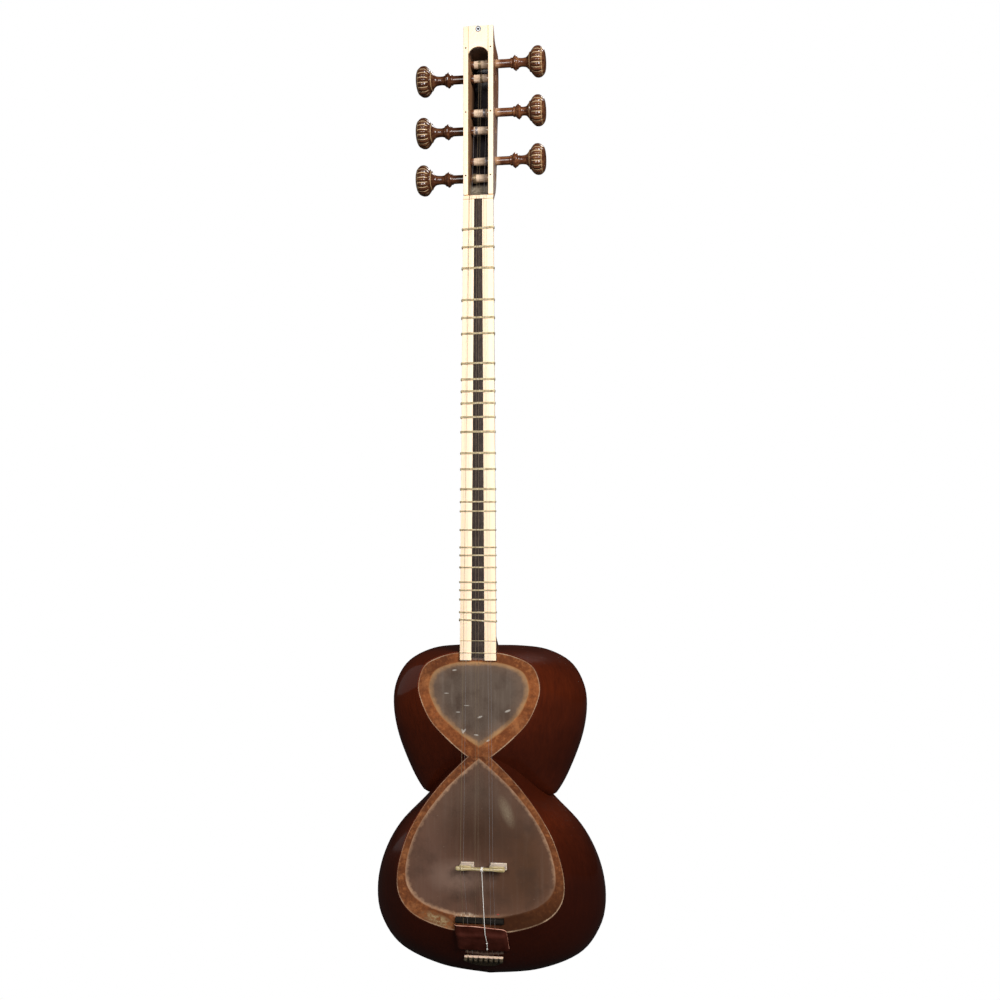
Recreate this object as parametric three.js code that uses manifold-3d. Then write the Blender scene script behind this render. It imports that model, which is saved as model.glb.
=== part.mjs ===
// A Persian tar: a long-necked lute with a double bowl carved from mulberry in two halves,
// two skin faces, a walnut neck faced with bone and ebony, tied gut frets, six friction pegs
// and three double courses of wire. Millimetres. The origin is the centre of the flat at the
// tail, +Z runs up towards the pegs, and the playing face looks along -Y.
import * as THREE from "three";
import { mergeVertices } from "three/addons/utils/BufferGeometryUtils.js";
import Module from "manifold-3d";

const wasm = await Module();
wasm.setup();

// Fits shared by every joint
const glueGap = 0.2; // between pieces glued face to face
const runningGap = 0.3; // round a piece that turns or slides
const cutOverrun = 2; // how far a cutter runs past what it cuts

// The body: depths are measured back from the wooden face that the skins are glued to
const widestDepth = 62; // where both bowls are at their widest, and where the origin lies
const tailFlatCut = 0.8; // how much of the large bowl's round end the flat takes off
const bowlWall = 5;
const largeRimWidth = 10.5; // of the wooden face beside the opening
const largeRimTop = 13; // above the opening, measured upright
const rimTailWidth = 17.5;
const smallRimWidth = 12.5;
const smallRimTip = 20.5; // below the opening
const smallRimTop = 11; // at the neck
const rimThickness = 6;
const seamGap = 0.1; // between the two carved halves

const largeBowlWidth = 236;
const largeBowlLength = 256; // to where its outline would come to a point
const largeBowlDepth = 152;
const largeFaceWidth = 170;
const largeFaceLength = 185;
const largeFaceBottom = 56.5; // height above the origin

const smallBowlWidth = 200;
const smallBowlLength = 150;
const smallBowlTop = 334;
const smallBowlDepth = 128;
const smallFaceWidth = 123;
const smallFaceLength = 113;
const smallFaceTop = 334.5;

const skinThickness = 0.5;
const skinEdgeInset = 1; // from the edge of the wooden face
const skinMeetingLevel = 231; // where the two skins meet at the waist

// Outlines run from the top to the bottom of the right half, as shares of half the width
// and of the length
const largeBowlShares = [
  [0, 1],
  [0.271, 0.887],
  [0.51, 0.729],
  [0.79, 0.593],
  [0.941, 0.464],
  [1, 0.331],
  [0.959, 0.208],
  [0.78, 0.095],
  [0.42, 0.024],
  [0, 0],
];
const largeFaceShares = [
  [0, 1],
  [0.252, 0.895],
  [0.48, 0.785],
  [0.706, 0.646],
  [0.882, 0.495],
  [0.988, 0.316],
  [0.965, 0.181],
  [0.776, 0.081],
  [0.4, 0.018],
  [0, 0],
];
const smallBowlShares = [
  [0, 1],
  [0.32, 1],
  [0.6, 0.975],
  [0.84, 0.89],
  [0.97, 0.746],
  [1, 0.586],
  [0.95, 0.387],
  [0.82, 0.161],
  [0.7, 0.018],
  [0.62, -0.012],
  [0.3, 0],
  [0, 0],
];
const smallFaceShares = [
  [0, 1],
  [0.341, 0.996],
  [0.65, 0.954],
  [0.894, 0.876],
  [1, 0.721],
  [0.967, 0.579],
  [0.805, 0.39],
  [0.553, 0.239],
  [0.276, 0.109],
  [0, 0],
];
// Heights of the centres that the backs close in on
const largeCentreShare = 0.4;
const smallCentreShare = 0.5;
const outlineSteps = 16; // along half an outline
const frontSteps = 4; // from the face to the widest depth
const backSteps = 5; // from there to the end of the back
const backSweep = THREE.MathUtils.degToRad(84);

// The neck: its own frame has its origin at the lower end of the fingerboard's front
const neckTilt = THREE.MathUtils.degToRad(2.1); // leans back from the face
const neckEndLevel = 326; // height of the fingerboard's lower end
const neckProud = 4.2; // fingerboard in front of the wooden face
const neckWidthAtBody = 36;
const neckWidthAtNut = 30;
const neckDepthAtBody = 27;
const neckDepthAtNut = 23;
const neckSideDepth = 7; // flat of the neck's sides before the back rounds off
const neckSteps = 8; // round the back
const fingerboardLength = 456; // up to the nut
const heelLength = 24; // where the neck grows deeper and squarer towards the body
const heelDepth = 34;
const overlayThickness = 2.6; // bone and ebony facing
const stripSetback = 3; // the dark strip ends above the bone
const stripWidthAtBody = 12.8;
const stripWidthAtNut = 7.6;
const tenonWidth = 24;
const tenonLength = 30; // below the fingerboard's lower end
const tenonDepth = 24; // behind the fingerboard's front
const spliceLength = 32; // from the nut down to where the pegbox is joined to the neck
const tongueWidth = 13;
const tongueFront = 6; // behind the fingerboard's front
const tongueThickness = 10;
const tongueLength = 20;

// Strings
const nutLength = 4.4;
const nutRise = 1.1; // strings' middles above the fingerboard
const nutCrest = 0.5; // width of the edge that the strings bear on
const nutBackDepth = 2; // of the nut's sloping top at its upper end
const stringHold = 0.15; // between a string and what it bears on
const courseSpacingAtNut = 7.3;
const courseSpacingAtBridge = 14.6;
const pairSpacingAtNut = 2.4;
const pairSpacingAtBridge = 3;
const plainWire = 0.2;
const brassWire = 0.22;
const bassWire = 0.4;
const wireDiameters = [bassWire, plainWire, brassWire, brassWire, plainWire, plainWire];
const wireSides = 5;
const windingTurns = 4;
const windingSteps = 12; // per turn
const windingGap = 0.5; // between neighbouring turns

// Frets: places as shares of the string length below the nut
const fretShares = [
  0.045, 0.073, 0.105, 0.153, 0.18, 0.204, 0.249, 0.273, 0.291, 0.309, 0.33, 0.352, 0.384,
  0.408, 0.438, 0.457, 0.471, 0.499, 0.525, 0.537, 0.555, 0.577, 0.589, 0.603, 0.622, 0.634,
];
const fretBandAtNut = 2.8; // width of the gut turns lying side by side
const fretBandAtBody = 2;
const gutThickness = 0.65;
const fretHold = 0.2; // between gut and neck
const knotDiameter = 2.6;

// Pegbox
const pegboxLength = 174; // from the nut to the top
const pegboxWidth = 30;
const pegboxDepth = 46; // at its deepest
const pegboxFloor = 6;
const slotWidth = 20;
const slotTopMargin = 21; // from the top of the arch to the top of the pegbox
const archRise = 8;
const slotArchSteps = 10;
const slotRampLength = 7; // of the slot's lower end, which slopes in from the nut
const slotCeilingDrop = 10; // of its upper end, from front to back
// Depth along the pegbox: share of the way from nut to top, share of the greatest depth
const pegboxDepthShares = [
  [0.12, 0.61],
  [0.26, 0.72],
  [0.47, 0.85],
  [0.62, 0.96],
  [0.74, 1],
  [0.84, 0.96],
  [1, 0.9],
];
// The sloping top: share of the depth, share of the pegbox's length below the top
const topSlopeShares = [
  [0.07, 0],
  [0.26, 0.075],
  [0.52, 0.105],
  [0.78, 0.13],
  [1.1, 0.22],
];
const neckSquareness = 2.2; // 2 is an ellipse, more is boxier
const heelSquareness = 4;
const pegboxSquareness = 6;
const screwHeadDiameter = 4.4;
const screwHeadThickness = 1;
const screwShankDiameter = 2;
const screwLength = 11;
const screwDrop = 3.2; // below the top of the pegbox
const driveDiameter = 1.4;
const driveDepth = 0.6;

// Tuning pegs: heights above the nut as shares of the pegbox's length
const rightPegShares = [0.239, 0.521, 0.805];
const leftPegShares = [0.142, 0.42, 0.724];
const pegAxisDepth = 16; // behind the front of the pegbox
const pegReach = 50; // from the pegbox's side to the end of the head
const pegShaftDiameter = 8.6;
const pegTaper = 1.2; // how much thinner the far end is
const pegHeadDiameter = 31;
const pegCollarDiameter = 15.8;
const pegSides = 12;
const pegCrown = 0.8; // how far the head's end is domed
// Outline outside the pegbox: share of the reach, share of the head's radius
const pegHeadShares = [
  [0.58, 0.275],
  [0.64, 0.42],
  [0.69, 0.7],
  [0.76, 0.93],
  [0.84, 1],
  [0.92, 0.93],
  [0.98, 0.72],
  [1, 0.5],
];
const collarShares = [0.28, 0.338, 0.4]; // start, crest and end of the collar along the reach
const waistShare = 0.5; // the thin place between collar and head
const waistRadiusShare = 0.93; // of the shaft's radius

// Bridge
const bridgeHeight = 17;
const bridgeLevel = 124.5; // height of its middle above the origin
const bridgeAside = 3; // to the right of the middle, as it stands
const bridgeWidth = 49;
const beamLength = 4.6; // along the strings
const beamThickness = 5;
const legWidth = 12;
const legInset = 1.5; // from the beam's end
const legLength = 4;
const footLength = 7;
const footThickness = 2.4;
const footSpread = 1; // how far a foot stands out each side of its leg
const bridgeSlideGap = 0.45; // lets the bridge move along under the strings

// Tail
const saddleWidth = 48;
const saddleLength = 5.5;
const saddleHeight = 5;
const saddleLevel = 68; // height of its lower edge
const holderWidth = 39;
const holderLength = 15;
const holderThickness = 2.4;
const holderTop = 31; // height of its toothed edge
const toothCount = 8;
const toothHeight = 3.4;
const toothLength = 3.4;
const toothShare = 0.6; // of the pitch
const padWidth = 57;
const padThickness = 1.8;
const padTop = 67.4; // height of its upper edge
const padBottom = 35;
const padLip = 3; // width of the edges that come down to the body
const padSteps = 8;
const padClearance = 0.7; // over the strings
const padSeatGap = 0.4; // under its edges
const padRise = 2.2; // of the strings over the body's round end

const walnut = new THREE.MeshStandardMaterial({ color: 0x5a3219, roughness: 0.35, metalness: 0 });
const mulberry = new THREE.MeshStandardMaterial({ color: 0x3d1109, roughness: 0.22, metalness: 0 });
const bone = new THREE.MeshStandardMaterial({ color: 0xf3e6cd, roughness: 0.35, metalness: 0 });
const ebony = new THREE.MeshStandardMaterial({ color: 0x2c2420, roughness: 0.45, metalness: 0 });
const horn = new THREE.MeshStandardMaterial({ color: 0xcdbf96, roughness: 0.4, metalness: 0 });
const skin = new THREE.MeshStandardMaterial({ color: 0x5c4a3e, roughness: 0.4, metalness: 0 });
const gut = new THREE.MeshStandardMaterial({ color: 0xb79a62, roughness: 0.5, metalness: 0 });
const pegWood = new THREE.MeshStandardMaterial({ color: 0x5f2f17, roughness: 0.25, metalness: 0 });
const leather = new THREE.MeshStandardMaterial({ color: 0x33100b, roughness: 0.5, metalness: 0 });
const steel = new THREE.MeshStandardMaterial({ color: 0x9aa0a5, roughness: 0.3, metalness: 1 });
const brass = new THREE.MeshStandardMaterial({ color: 0xc9a050, roughness: 0.3, metalness: 1 });

const tar = new THREE.Group();
const neck = new THREE.Group();
neck.position.set(0, -widestDepth - neckProud, neckEndLevel);
neck.rotation.x = -neckTilt;
tar.add(neck);
tar.updateMatrixWorld(true);
const inBodyFrame = (geometry) => geometry.clone().applyMatrix4(neck.matrixWorld);

const mix = THREE.MathUtils.lerp;

// Adds a named mesh to a group.
function add(group, name, geometry, material) {
  const mesh = new THREE.Mesh(geometry, material);
  mesh.name = name;
  group.add(mesh);
  return mesh;
}

// Turns a closed mesh's faces outwards.
function facingOut(geometry) {
  const at = geometry.attributes.position;
  const [a, b, c] = [new THREE.Vector3(), new THREE.Vector3(), new THREE.Vector3()];
  const index = geometry.index.array;
  let volume = 0;
  for (let i = 0; i < index.length; i += 3) {
    a.fromBufferAttribute(at, index[i]);
    b.fromBufferAttribute(at, index[i + 1]);
    c.fromBufferAttribute(at, index[i + 2]);
    volume += a.dot(b.cross(c));
  }
  if (volume < 0) index.reverse();
  return geometry;
}

function geometryFrom(points, triangles) {
  const geometry = new THREE.BufferGeometry().setFromPoints(points);
  geometry.setIndex(triangles);
  return facingOut(geometry);
}

// Triangles that close a ring of points, in the ring's own direction.
function capTriangles(ring) {
  const normal = new THREE.Vector3();
  ring.forEach((p, i) => normal.add(p.clone().cross(ring[(i + 1) % ring.length])));
  const size = normal.toArray().map(Math.abs);
  const axis = size.indexOf(Math.max(...size));
  const flat = ring.map((p) => {
    const v = p.toArray();
    v.splice(axis, 1);
    return new THREE.Vector2(...v);
  });
  const turn = Math.sign(THREE.ShapeUtils.area(flat));
  return THREE.ShapeUtils.triangulateShape(flat, []).map((face) => {
    const sameWay = Math.sign(THREE.ShapeUtils.area(face.map((i) => flat[i]))) === turn;
    return sameWay ? face : [face[0], face[2], face[1]];
  });
}

// Skins a list of rings of equal length. The ends are closed, or joined to each other when
// the rings go round in a loop.
function loft(rings, looped = false) {
  const count = rings[0].length;
  const points = rings.flat();
  const triangles = [];
  const last = looped ? rings.length : rings.length - 1;
  for (let i = 0; i < last; i++) {
    for (let j = 0; j < count; j++) {
      const here = i * count;
      const next = ((i + 1) % rings.length) * count;
      const k = (j + 1) % count;
      triangles.push(here + j, here + k, next + k, here + j, next + k, next + j);
    }
  }
  if (!looped) {
    const end = last * count;
    for (const [a, b, c] of capTriangles(rings[0])) triangles.push(a, c, b);
    for (const [a, b, c] of capTriangles(rings[last])) triangles.push(end + a, end + b, end + c);
  }
  return geometryFrom(points, triangles);
}

// Solids for cutting and joining
function solid(geometry) {
  const bare = geometry.clone();
  bare.deleteAttribute("normal");
  bare.deleteAttribute("uv");
  const merged = mergeVertices(bare, 1e-4);
  return new wasm.Manifold(
    new wasm.Mesh({
      numProp: 3,
      vertProperties: merged.attributes.position.array,
      triVerts: new Uint32Array(merged.index.array),
    }),
  );
}

function geometryOf(made) {
  const mesh = made.getMesh();
  const points = [];
  for (let i = 0; i < mesh.numVert; i++) {
    const at = i * mesh.numProp;
    points.push(new THREE.Vector3(...mesh.vertProperties.subarray(at, at + 3)));
  }
  return geometryFrom(points, Array.from(mesh.triVerts));
}

// A box between two corners.
function box(from, to) {
  const size = to.map((v, i) => v - from[i]);
  return new THREE.BoxGeometry(...size).translate(...from.map((v, i) => v + size[i] / 2));
}

// A prism across the neck, between two places along X, from its outline along Z and Y.
function sidePrism(outline, left, right) {
  return loft([left, right].map((x) => outline.map(([z, y]) => new THREE.Vector3(x, y, z))));
}

// A round wire through a list of points. Its section keeps its place about the X axis.
function wire(points, diameter) {
  const across = new THREE.Vector3(1, 0, 0);
  return loft(
    points.map((p, i) => {
      const back = p.clone().sub(points[i - 1] ?? p).normalize();
      const on = (points[i + 1] ?? p).clone().sub(p).normalize();
      const along = back.add(on).normalize();
      const side = across.clone().addScaledVector(along, -across.dot(along)).normalize();
      const up = new THREE.Vector3().crossVectors(along, side);
      return Array.from({ length: wireSides }, (_, k) => {
        const angle = (2 * Math.PI * k) / wireSides;
        return p
          .clone()
          .addScaledVector(side, (diameter / 2) * Math.cos(angle))
          .addScaledVector(up, (diameter / 2) * Math.sin(angle));
      });
    }),
  );
}

// Looks a value up in a table of shares, with straight lines between its rows.
function tableAt(rows, at) {
  const after = rows.findIndex(([share]) => share >= at);
  if (after === 0) return rows[0][1];
  if (after < 0) return rows.at(-1)[1];
  const [from, to] = [rows[after - 1], rows[after]];
  return mix(from[1], to[1], (at - from[0]) / (to[0] - from[0]));
}

// The bowls
const largeBowl = {
  bowlShares: largeBowlShares,
  bowlWidth: largeBowlWidth,
  bowlLength: largeBowlLength,
  bowlBottom: -tailFlatCut,
  faceShares: largeFaceShares,
  faceWidth: largeFaceWidth,
  faceLength: largeFaceLength,
  faceBottom: largeFaceBottom,
  depth: largeBowlDepth,
  centreShare: largeCentreShare,
  rimWidth: largeRimWidth,
};
const smallBowl = {
  bowlShares: smallBowlShares,
  bowlWidth: smallBowlWidth,
  bowlLength: smallBowlLength,
  bowlBottom: smallBowlTop - smallBowlLength,
  faceShares: smallFaceShares,
  faceWidth: smallFaceWidth,
  faceLength: smallFaceLength,
  faceBottom: smallFaceTop - smallFaceLength,
  depth: smallBowlDepth,
  centreShare: smallCentreShare,
  rimWidth: smallRimWidth,
};

// The right half of an outline, from its top to its bottom.
function halfOutline(shares, width, length, bottom) {
  const points = shares.map(([x, z]) => new THREE.Vector2((x * width) / 2, bottom + z * length));
  return new THREE.SplineCurve(points).getSpacedPoints(outlineSteps);
}

const mirrored = (half) => half.slice(1, -1).reverse().map((p) => new THREE.Vector2(-p.x, p.y));
const wholeOutline = (half) => [...half, ...mirrored(half)];
const ringAt = (half, depth) =>
  wholeOutline(half).map((p) => new THREE.Vector3(p.x, depth - widestDepth, p.y));

const faceOutline = (bowl, wall = 0) =>
  halfOutline(
    bowl.faceShares,
    bowl.faceWidth - 2 * wall,
    bowl.faceLength - 2 * wall,
    bowl.faceBottom + wall,
  );

const bowlOutline = (bowl, wall = 0) =>
  halfOutline(
    bowl.bowlShares,
    bowl.bowlWidth - 2 * wall,
    bowl.bowlLength - 2 * wall,
    bowl.bowlBottom + wall,
  );

// The outline between the face and the widest place: the sides swell out like a quarter turn.
function sideOutline(bowl, depth, wall = 0) {
  const swell = Math.sin((Math.PI / 2) * (depth / widestDepth));
  const widest = bowlOutline(bowl, wall);
  return faceOutline(bowl, wall).map((p, i) => p.lerp(widest[i], swell));
}

// A bowl's outer shape, or the shape inside its wall.
function bowlShape(bowl, start, wall) {
  const rings = [];
  for (let i = 0; i <= frontSteps; i++) {
    const depth = mix(start, widestDepth, i / frontSteps);
    rings.push(ringAt(sideOutline(bowl, depth, wall), depth));
  }
  const centre = new THREE.Vector2(0, bowl.bowlBottom + bowl.centreShare * bowl.bowlLength);
  for (let i = 1; i <= backSteps; i++) {
    const angle = (backSweep * i) / backSteps;
    const closing = bowlOutline(bowl, wall);
    for (const p of closing) p.sub(centre).multiplyScalar(Math.cos(angle)).add(centre);
    rings.push(ringAt(closing, widestDepth + (bowl.depth - wall - widestDepth) * Math.sin(angle)));
  }
  return solid(loft(rings));
}

// The opening under a skin, cut through the rim.
function faceOpening(bowl, rimBelow, rimAbove) {
  const half = halfOutline(
    bowl.faceShares,
    bowl.faceWidth - 2 * bowl.rimWidth,
    bowl.faceLength - rimBelow - rimAbove,
    bowl.faceBottom + rimBelow,
  );
  return solid(loft([ringAt(half, -cutOverrun), ringAt(half, rimThickness + cutOverrun)]));
}

// The height of the lower edge of half an outline at a distance from the middle.
function lowerEdge(half, x) {
  const next = half.findLastIndex((p) => p.x > Math.abs(x)) + 1;
  const [p, q] = [half[next - 1], half[next]];
  return mix(p.y, q.y, (p.x - Math.abs(x)) / (p.x - q.x));
}

// The body's front surface near the tail, as a place along Y: the skin, then the rounded end.
const skinFront = -widestDepth - glueGap - skinThickness;
function tailSurface(x, z) {
  if (z >= lowerEdge(faceOutline(largeBowl), x)) return skinFront;
  let [near, far] = [0, widestDepth];
  while (far - near > glueGap / 1000) {
    const middle = (near + far) / 2;
    if (lowerEdge(sideOutline(largeBowl, middle), x) > z) near = middle;
    else far = middle;
  }
  return near - widestDepth;
}

// Outline of the neck and pegbox
const nutLevel = fingerboardLength;
const pegboxTop = nutLevel + pegboxLength;
const spliceLevel = nutLevel - spliceLength;
const overlayBack = overlayThickness + glueGap;

const widthAt = (z) => mix(neckWidthAtBody, neckWidthAtNut, Math.min(z / fingerboardLength, 1));
const stripWidthAt = (z) => mix(stripWidthAtBody, stripWidthAtNut, z / fingerboardLength);
const heelShareAt = (z) => 1 - THREE.MathUtils.smoothstep(z, heelLength / 3, heelLength);

function depthAt(z) {
  if (z <= nutLevel) {
    const plain = mix(neckDepthAtBody, neckDepthAtNut, Math.max(z, 0) / fingerboardLength);
    return mix(plain, heelDepth, heelShareAt(z));
  }
  const rows = [[0, neckDepthAtNut / pegboxDepth], ...pegboxDepthShares];
  return pegboxDepth * tableAt(rows, (z - nutLevel) / pegboxLength);
}

function squarenessAt(z) {
  const boxed = THREE.MathUtils.smoothstep(z, nutLevel - nutLength, nutLevel + slotTopMargin);
  return mix(mix(neckSquareness, heelSquareness, heelShareAt(z)), pegboxSquareness, boxed);
}

// A ring round the neck, from the left edge of the back to the right and back across the front.
function neckRing(z, front, grow = 0) {
  const half = widthAt(z) / 2 + grow;
  const side = neckSideDepth;
  const back = depthAt(z) + grow;
  const power = 2 / squarenessAt(z);
  const ring = [];
  for (let i = 0; i <= neckSteps; i++) {
    const angle = (Math.PI * i) / neckSteps;
    const x = -Math.cos(angle);
    const y = Math.max(Math.sin(angle), 0);
    const across = half * Math.sign(x) * Math.abs(x) ** power;
    ring.push(new THREE.Vector3(across, side + (back - side) * y ** power, z));
  }
  ring.push(new THREE.Vector3(half, front - grow, z), new THREE.Vector3(-half, front - grow, z));
  return ring;
}

const neckLoft = (levels, grow = 0) =>
  loft(levels.map((z) => neckRing(z, overlayBack, grow)));

const heelLevels = [0, 1 / 3, 1 / 2, 2 / 3, 5 / 6, 1].map((share) => share * heelLength);

// A ring that follows the flat faces between the heel's levels, for what lies on the neck.
function ringOnNeck(z, front, grow) {
  const above = heelLevels.findIndex((level) => level > z);
  if (above < 1) return neckRing(z, front, grow);
  const [low, high] = heelLevels.slice(above - 1, above + 1);
  const upper = neckRing(high, front, grow);
  return neckRing(low, front, grow).map((p, i) => p.lerp(upper[i], (z - low) / (high - low)));
}

function tenon(grow = 0) {
  return box(
    [-tenonWidth / 2 - grow, neckProud + rimThickness + 2 * glueGap - grow, -tenonLength - grow],
    [tenonWidth / 2 + grow, tenonDepth + grow, heelLength / 3],
  );
}

function tongue(grow = 0) {
  return box(
    [-tongueWidth / 2 - grow, tongueFront - grow, spliceLevel - tongueLength - grow],
    [tongueWidth / 2 + grow, tongueFront + tongueThickness + grow, spliceLevel + cutOverrun],
  );
}

// The space that the neck's foot takes up in the body, in the body's frame
function neckCutter() {
  const foot = neckRing(0, -cutOverrun, glueGap);
  foot.forEach((p) => (p.z -= glueGap));
  const levels = heelLevels.map((z) => neckRing(z, -cutOverrun, glueGap));
  return solid(inBodyFrame(loft([foot, ...levels]))).add(solid(inBodyFrame(tenon(glueGap))));
}

function addBody() {
  const outer = bowlShape(largeBowl, 0, 0).add(bowlShape(smallBowl, 0, 0));
  const hollow = bowlShape(largeBowl, rimThickness, bowlWall).add(
    bowlShape(smallBowl, rimThickness, bowlWall),
  );
  const reach = largeBowlWidth;
  const below = solid(box([-reach, -reach, -reach], [reach, reach, 0]));
  const body = outer
    .subtract(hollow)
    .subtract(faceOpening(largeBowl, rimTailWidth, largeRimTop))
    .subtract(faceOpening(smallBowl, smallRimTip, smallRimTop))
    .subtract(neckCutter())
    .subtract(below);
  const tall = smallBowlTop + cutOverrun;
  const left = solid(box([-reach, -reach, -cutOverrun], [-seamGap / 2, reach, tall]));
  const right = solid(box([seamGap / 2, -reach, -cutOverrun], [reach, reach, tall]));
  add(tar, "bowl_left_half", geometryOf(body.intersect(left)), mulberry);
  add(tar, "bowl_right_half", geometryOf(body.intersect(right)), mulberry);
}

function addSkins() {
  const plate = (bowl) => {
    const half = faceOutline(bowl, skinEdgeInset);
    return solid(loft([ringAt(half, -glueGap - skinThickness), ringAt(half, -glueGap)]));
  };
  const reach = largeBowlWidth;
  const above = solid(box([-reach, -reach, skinMeetingLevel], [reach, reach, smallBowlTop + reach]));
  const below = solid(box([-reach, -reach, -reach], [reach, reach, skinMeetingLevel - glueGap]));
  add(tar, "large_skin", geometryOf(plate(largeBowl).intersect(below)), skin);
  const small = plate(smallBowl).intersect(above).subtract(neckCutter());
  add(tar, "small_skin", geometryOf(small), skin);
}

function addNeck() {
  const levels = [...heelLevels, fingerboardLength / 2, spliceLevel - glueGap];
  const wood = solid(neckLoft(levels)).add(solid(tenon())).subtract(solid(tongue(glueGap)));
  add(neck, "neck", geometryOf(wood), walnut);
}

// The facing of the fingerboard: bone on both sides of a dark strip
function addOverlays() {
  const facing = (edgesAt, foot) =>
    loft(
      [foot, nutLevel].map((z) => {
        const [left, right] = edgesAt(z);
        return [
          new THREE.Vector3(left, 0, z),
          new THREE.Vector3(right, 0, z),
          new THREE.Vector3(right, overlayThickness, z),
          new THREE.Vector3(left, overlayThickness, z),
        ];
      }),
    );
  const boneEdges = (z) => [-widthAt(z) / 2, -stripWidthAt(z) / 2 - glueGap];
  const mirrorEdges = (z) => boneEdges(z).map((x) => -x);
  add(neck, "bone_strip_left", facing(boneEdges, 0), bone);
  add(neck, "bone_strip_right", facing(mirrorEdges, 0), bone);
  const stripEdges = (z) => [-stripWidthAt(z) / 2, stripWidthAt(z) / 2];
  add(neck, "dark_strip", facing(stripEdges, stripSetback), ebony);
}

// Frets

const fretHeights = () => fretShares.map((share) => fingerboardLength - share * stringLength);

function tiedFret(z) {
  const band = mix(fretBandAtBody, fretBandAtNut, z / fingerboardLength);
  const [low, high] = [z - band / 2, z + band / 2];
  const lines = [
    ringOnNeck(low, 0, fretHold),
    ringOnNeck(high, 0, fretHold),
    ringOnNeck(high, 0, fretHold + gutThickness),
    ringOnNeck(low, 0, fretHold + gutThickness),
  ];
  const rings = lines[0].map((_, i) => lines.map((line) => line[i]));
  const knot = new THREE.IcosahedronGeometry(knotDiameter / 2);
  knot.translate(-widthAt(z) / 2 - fretHold - knotDiameter / 2, neckSideDepth / 2, z);
  return geometryOf(solid(loft(rings, true)).add(solid(knot)));
}

function addFrets() {
  fretHeights().forEach((z, i) => {
    add(neck, `fret_${String(i + 1).padStart(2, "0")}`, tiedFret(z), gut);
  });
}

// Pegbox

function slotOutline(foot) {
  const top = pegboxTop - slotTopMargin;
  const half = slotWidth / 2;
  const shape = new THREE.Shape();
  shape.moveTo(-half, foot);
  shape.lineTo(half, foot);
  shape.lineTo(half, top - archRise);
  shape.absellipse(0, top - archRise, half, archRise, 0, Math.PI, false);
  shape.closePath();
  return shape;
}

// Extrudes an outline drawn in X and Z along the depth.
function frontPrism(shape, from, to) {
  const options = { depth: to - from, bevelEnabled: false, curveSegments: slotArchSteps };
  return new THREE.ExtrudeGeometry(shape, options).rotateX(Math.PI / 2).translate(0, to, 0);
}

function slotHollow() {
  const foot = nutLevel + nutLength;
  const ceiling = pegboxTop - slotTopMargin - slotCeilingDrop;
  const floorAt = (z) => depthAt(z) - pegboxFloor;
  const floorLevels = pegboxDepthShares
    .map(([share]) => nutLevel + share * pegboxLength)
    .filter((z) => z < ceiling);
  const rampFoot = foot + slotRampLength;
  const profile = [
    [foot, -cutOverrun],
    [foot, overlayBack],
    [rampFoot, floorAt(rampFoot)],
    ...floorLevels.map((z) => [z, floorAt(z)]),
    [ceiling, floorAt(ceiling)],
    [pegboxTop - slotTopMargin, 0],
    [pegboxTop - slotTopMargin, -cutOverrun],
  ];
  const arch = solid(frontPrism(slotOutline(foot - cutOverrun), -cutOverrun, pegboxDepth));
  const half = slotWidth / 2 + cutOverrun;
  return solid(sidePrism(profile, -half, half)).intersect(arch);
}

// The wood above the sloping top of the pegbox
function topSlope() {
  const points = topSlopeShares.map(([deep, drop]) => [
    pegboxTop - drop * pegboxLength,
    deep * pegboxDepth,
  ]);
  const over = pegboxTop + cutOverrun;
  const profile = [[over, 0], ...points, [over, points.at(-1)[1]]];
  return solid(sidePrism(profile, -pegboxWidth, pegboxWidth));
}

const pegs = [
  ...rightPegShares.map((share, i) => ({ side: 1, share, name: `right_${i + 1}` })),
  ...leftPegShares.map((share, i) => ({ side: -1, share, name: `left_${i + 1}` })),
].map((peg) => ({ ...peg, z: nutLevel + peg.share * pegboxLength }));

// The shaft's radius at a distance from the middle, towards the head
const shaftRadiusAt = (out) =>
  pegShaftDiameter / 2 - (pegTaper / 2) * (0.5 - out / pegboxWidth);

function pegHole(peg) {
  const half = pegboxWidth / 2 + cutOverrun;
  const hole = new THREE.CylinderGeometry(
    shaftRadiusAt(half) + runningGap,
    shaftRadiusAt(-half) + runningGap,
    2 * half,
    pegSides,
  );
  hole.rotateZ((-peg.side * Math.PI) / 2);
  return solid(hole.translate(0, pegAxisDepth, peg.z));
}

function addPegbox() {
  const foot = spliceLevel;
  const levels = [
    foot,
    nutLevel - nutLength,
    nutLevel,
    ...pegboxDepthShares.map(([share]) => nutLevel + share * pegboxLength),
  ];
  let wood = solid(neckLoft(levels)).add(solid(tongue())).subtract(slotHollow()).subtract(topSlope());
  for (const peg of pegs) wood = wood.subtract(pegHole(peg));
  wood = wood.subtract(solid(screwHole()));
  add(neck, "pegbox", geometryOf(wood), walnut);

  const shape = new THREE.Shape();
  const half = pegboxWidth / 2;
  const rail = slotWidth / 2;
  const rise = pegboxTop - slotTopMargin - archRise;
  const start = nutLevel + nutLength + glueGap;
  shape.moveTo(-half, start);
  shape.lineTo(-rail, start);
  shape.lineTo(-rail, rise);
  shape.absellipse(0, rise, rail, archRise, Math.PI, 0, true);
  shape.lineTo(rail, start);
  shape.lineTo(half, start);
  shape.lineTo(half, pegboxTop);
  shape.lineTo(-half, pegboxTop);
  shape.closePath();
  const plate = solid(frontPrism(shape, 0, overlayThickness)).subtract(solid(screwHole()));
  add(neck, "pegbox_facing", geometryOf(plate), bone);
}

// Nut

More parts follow.
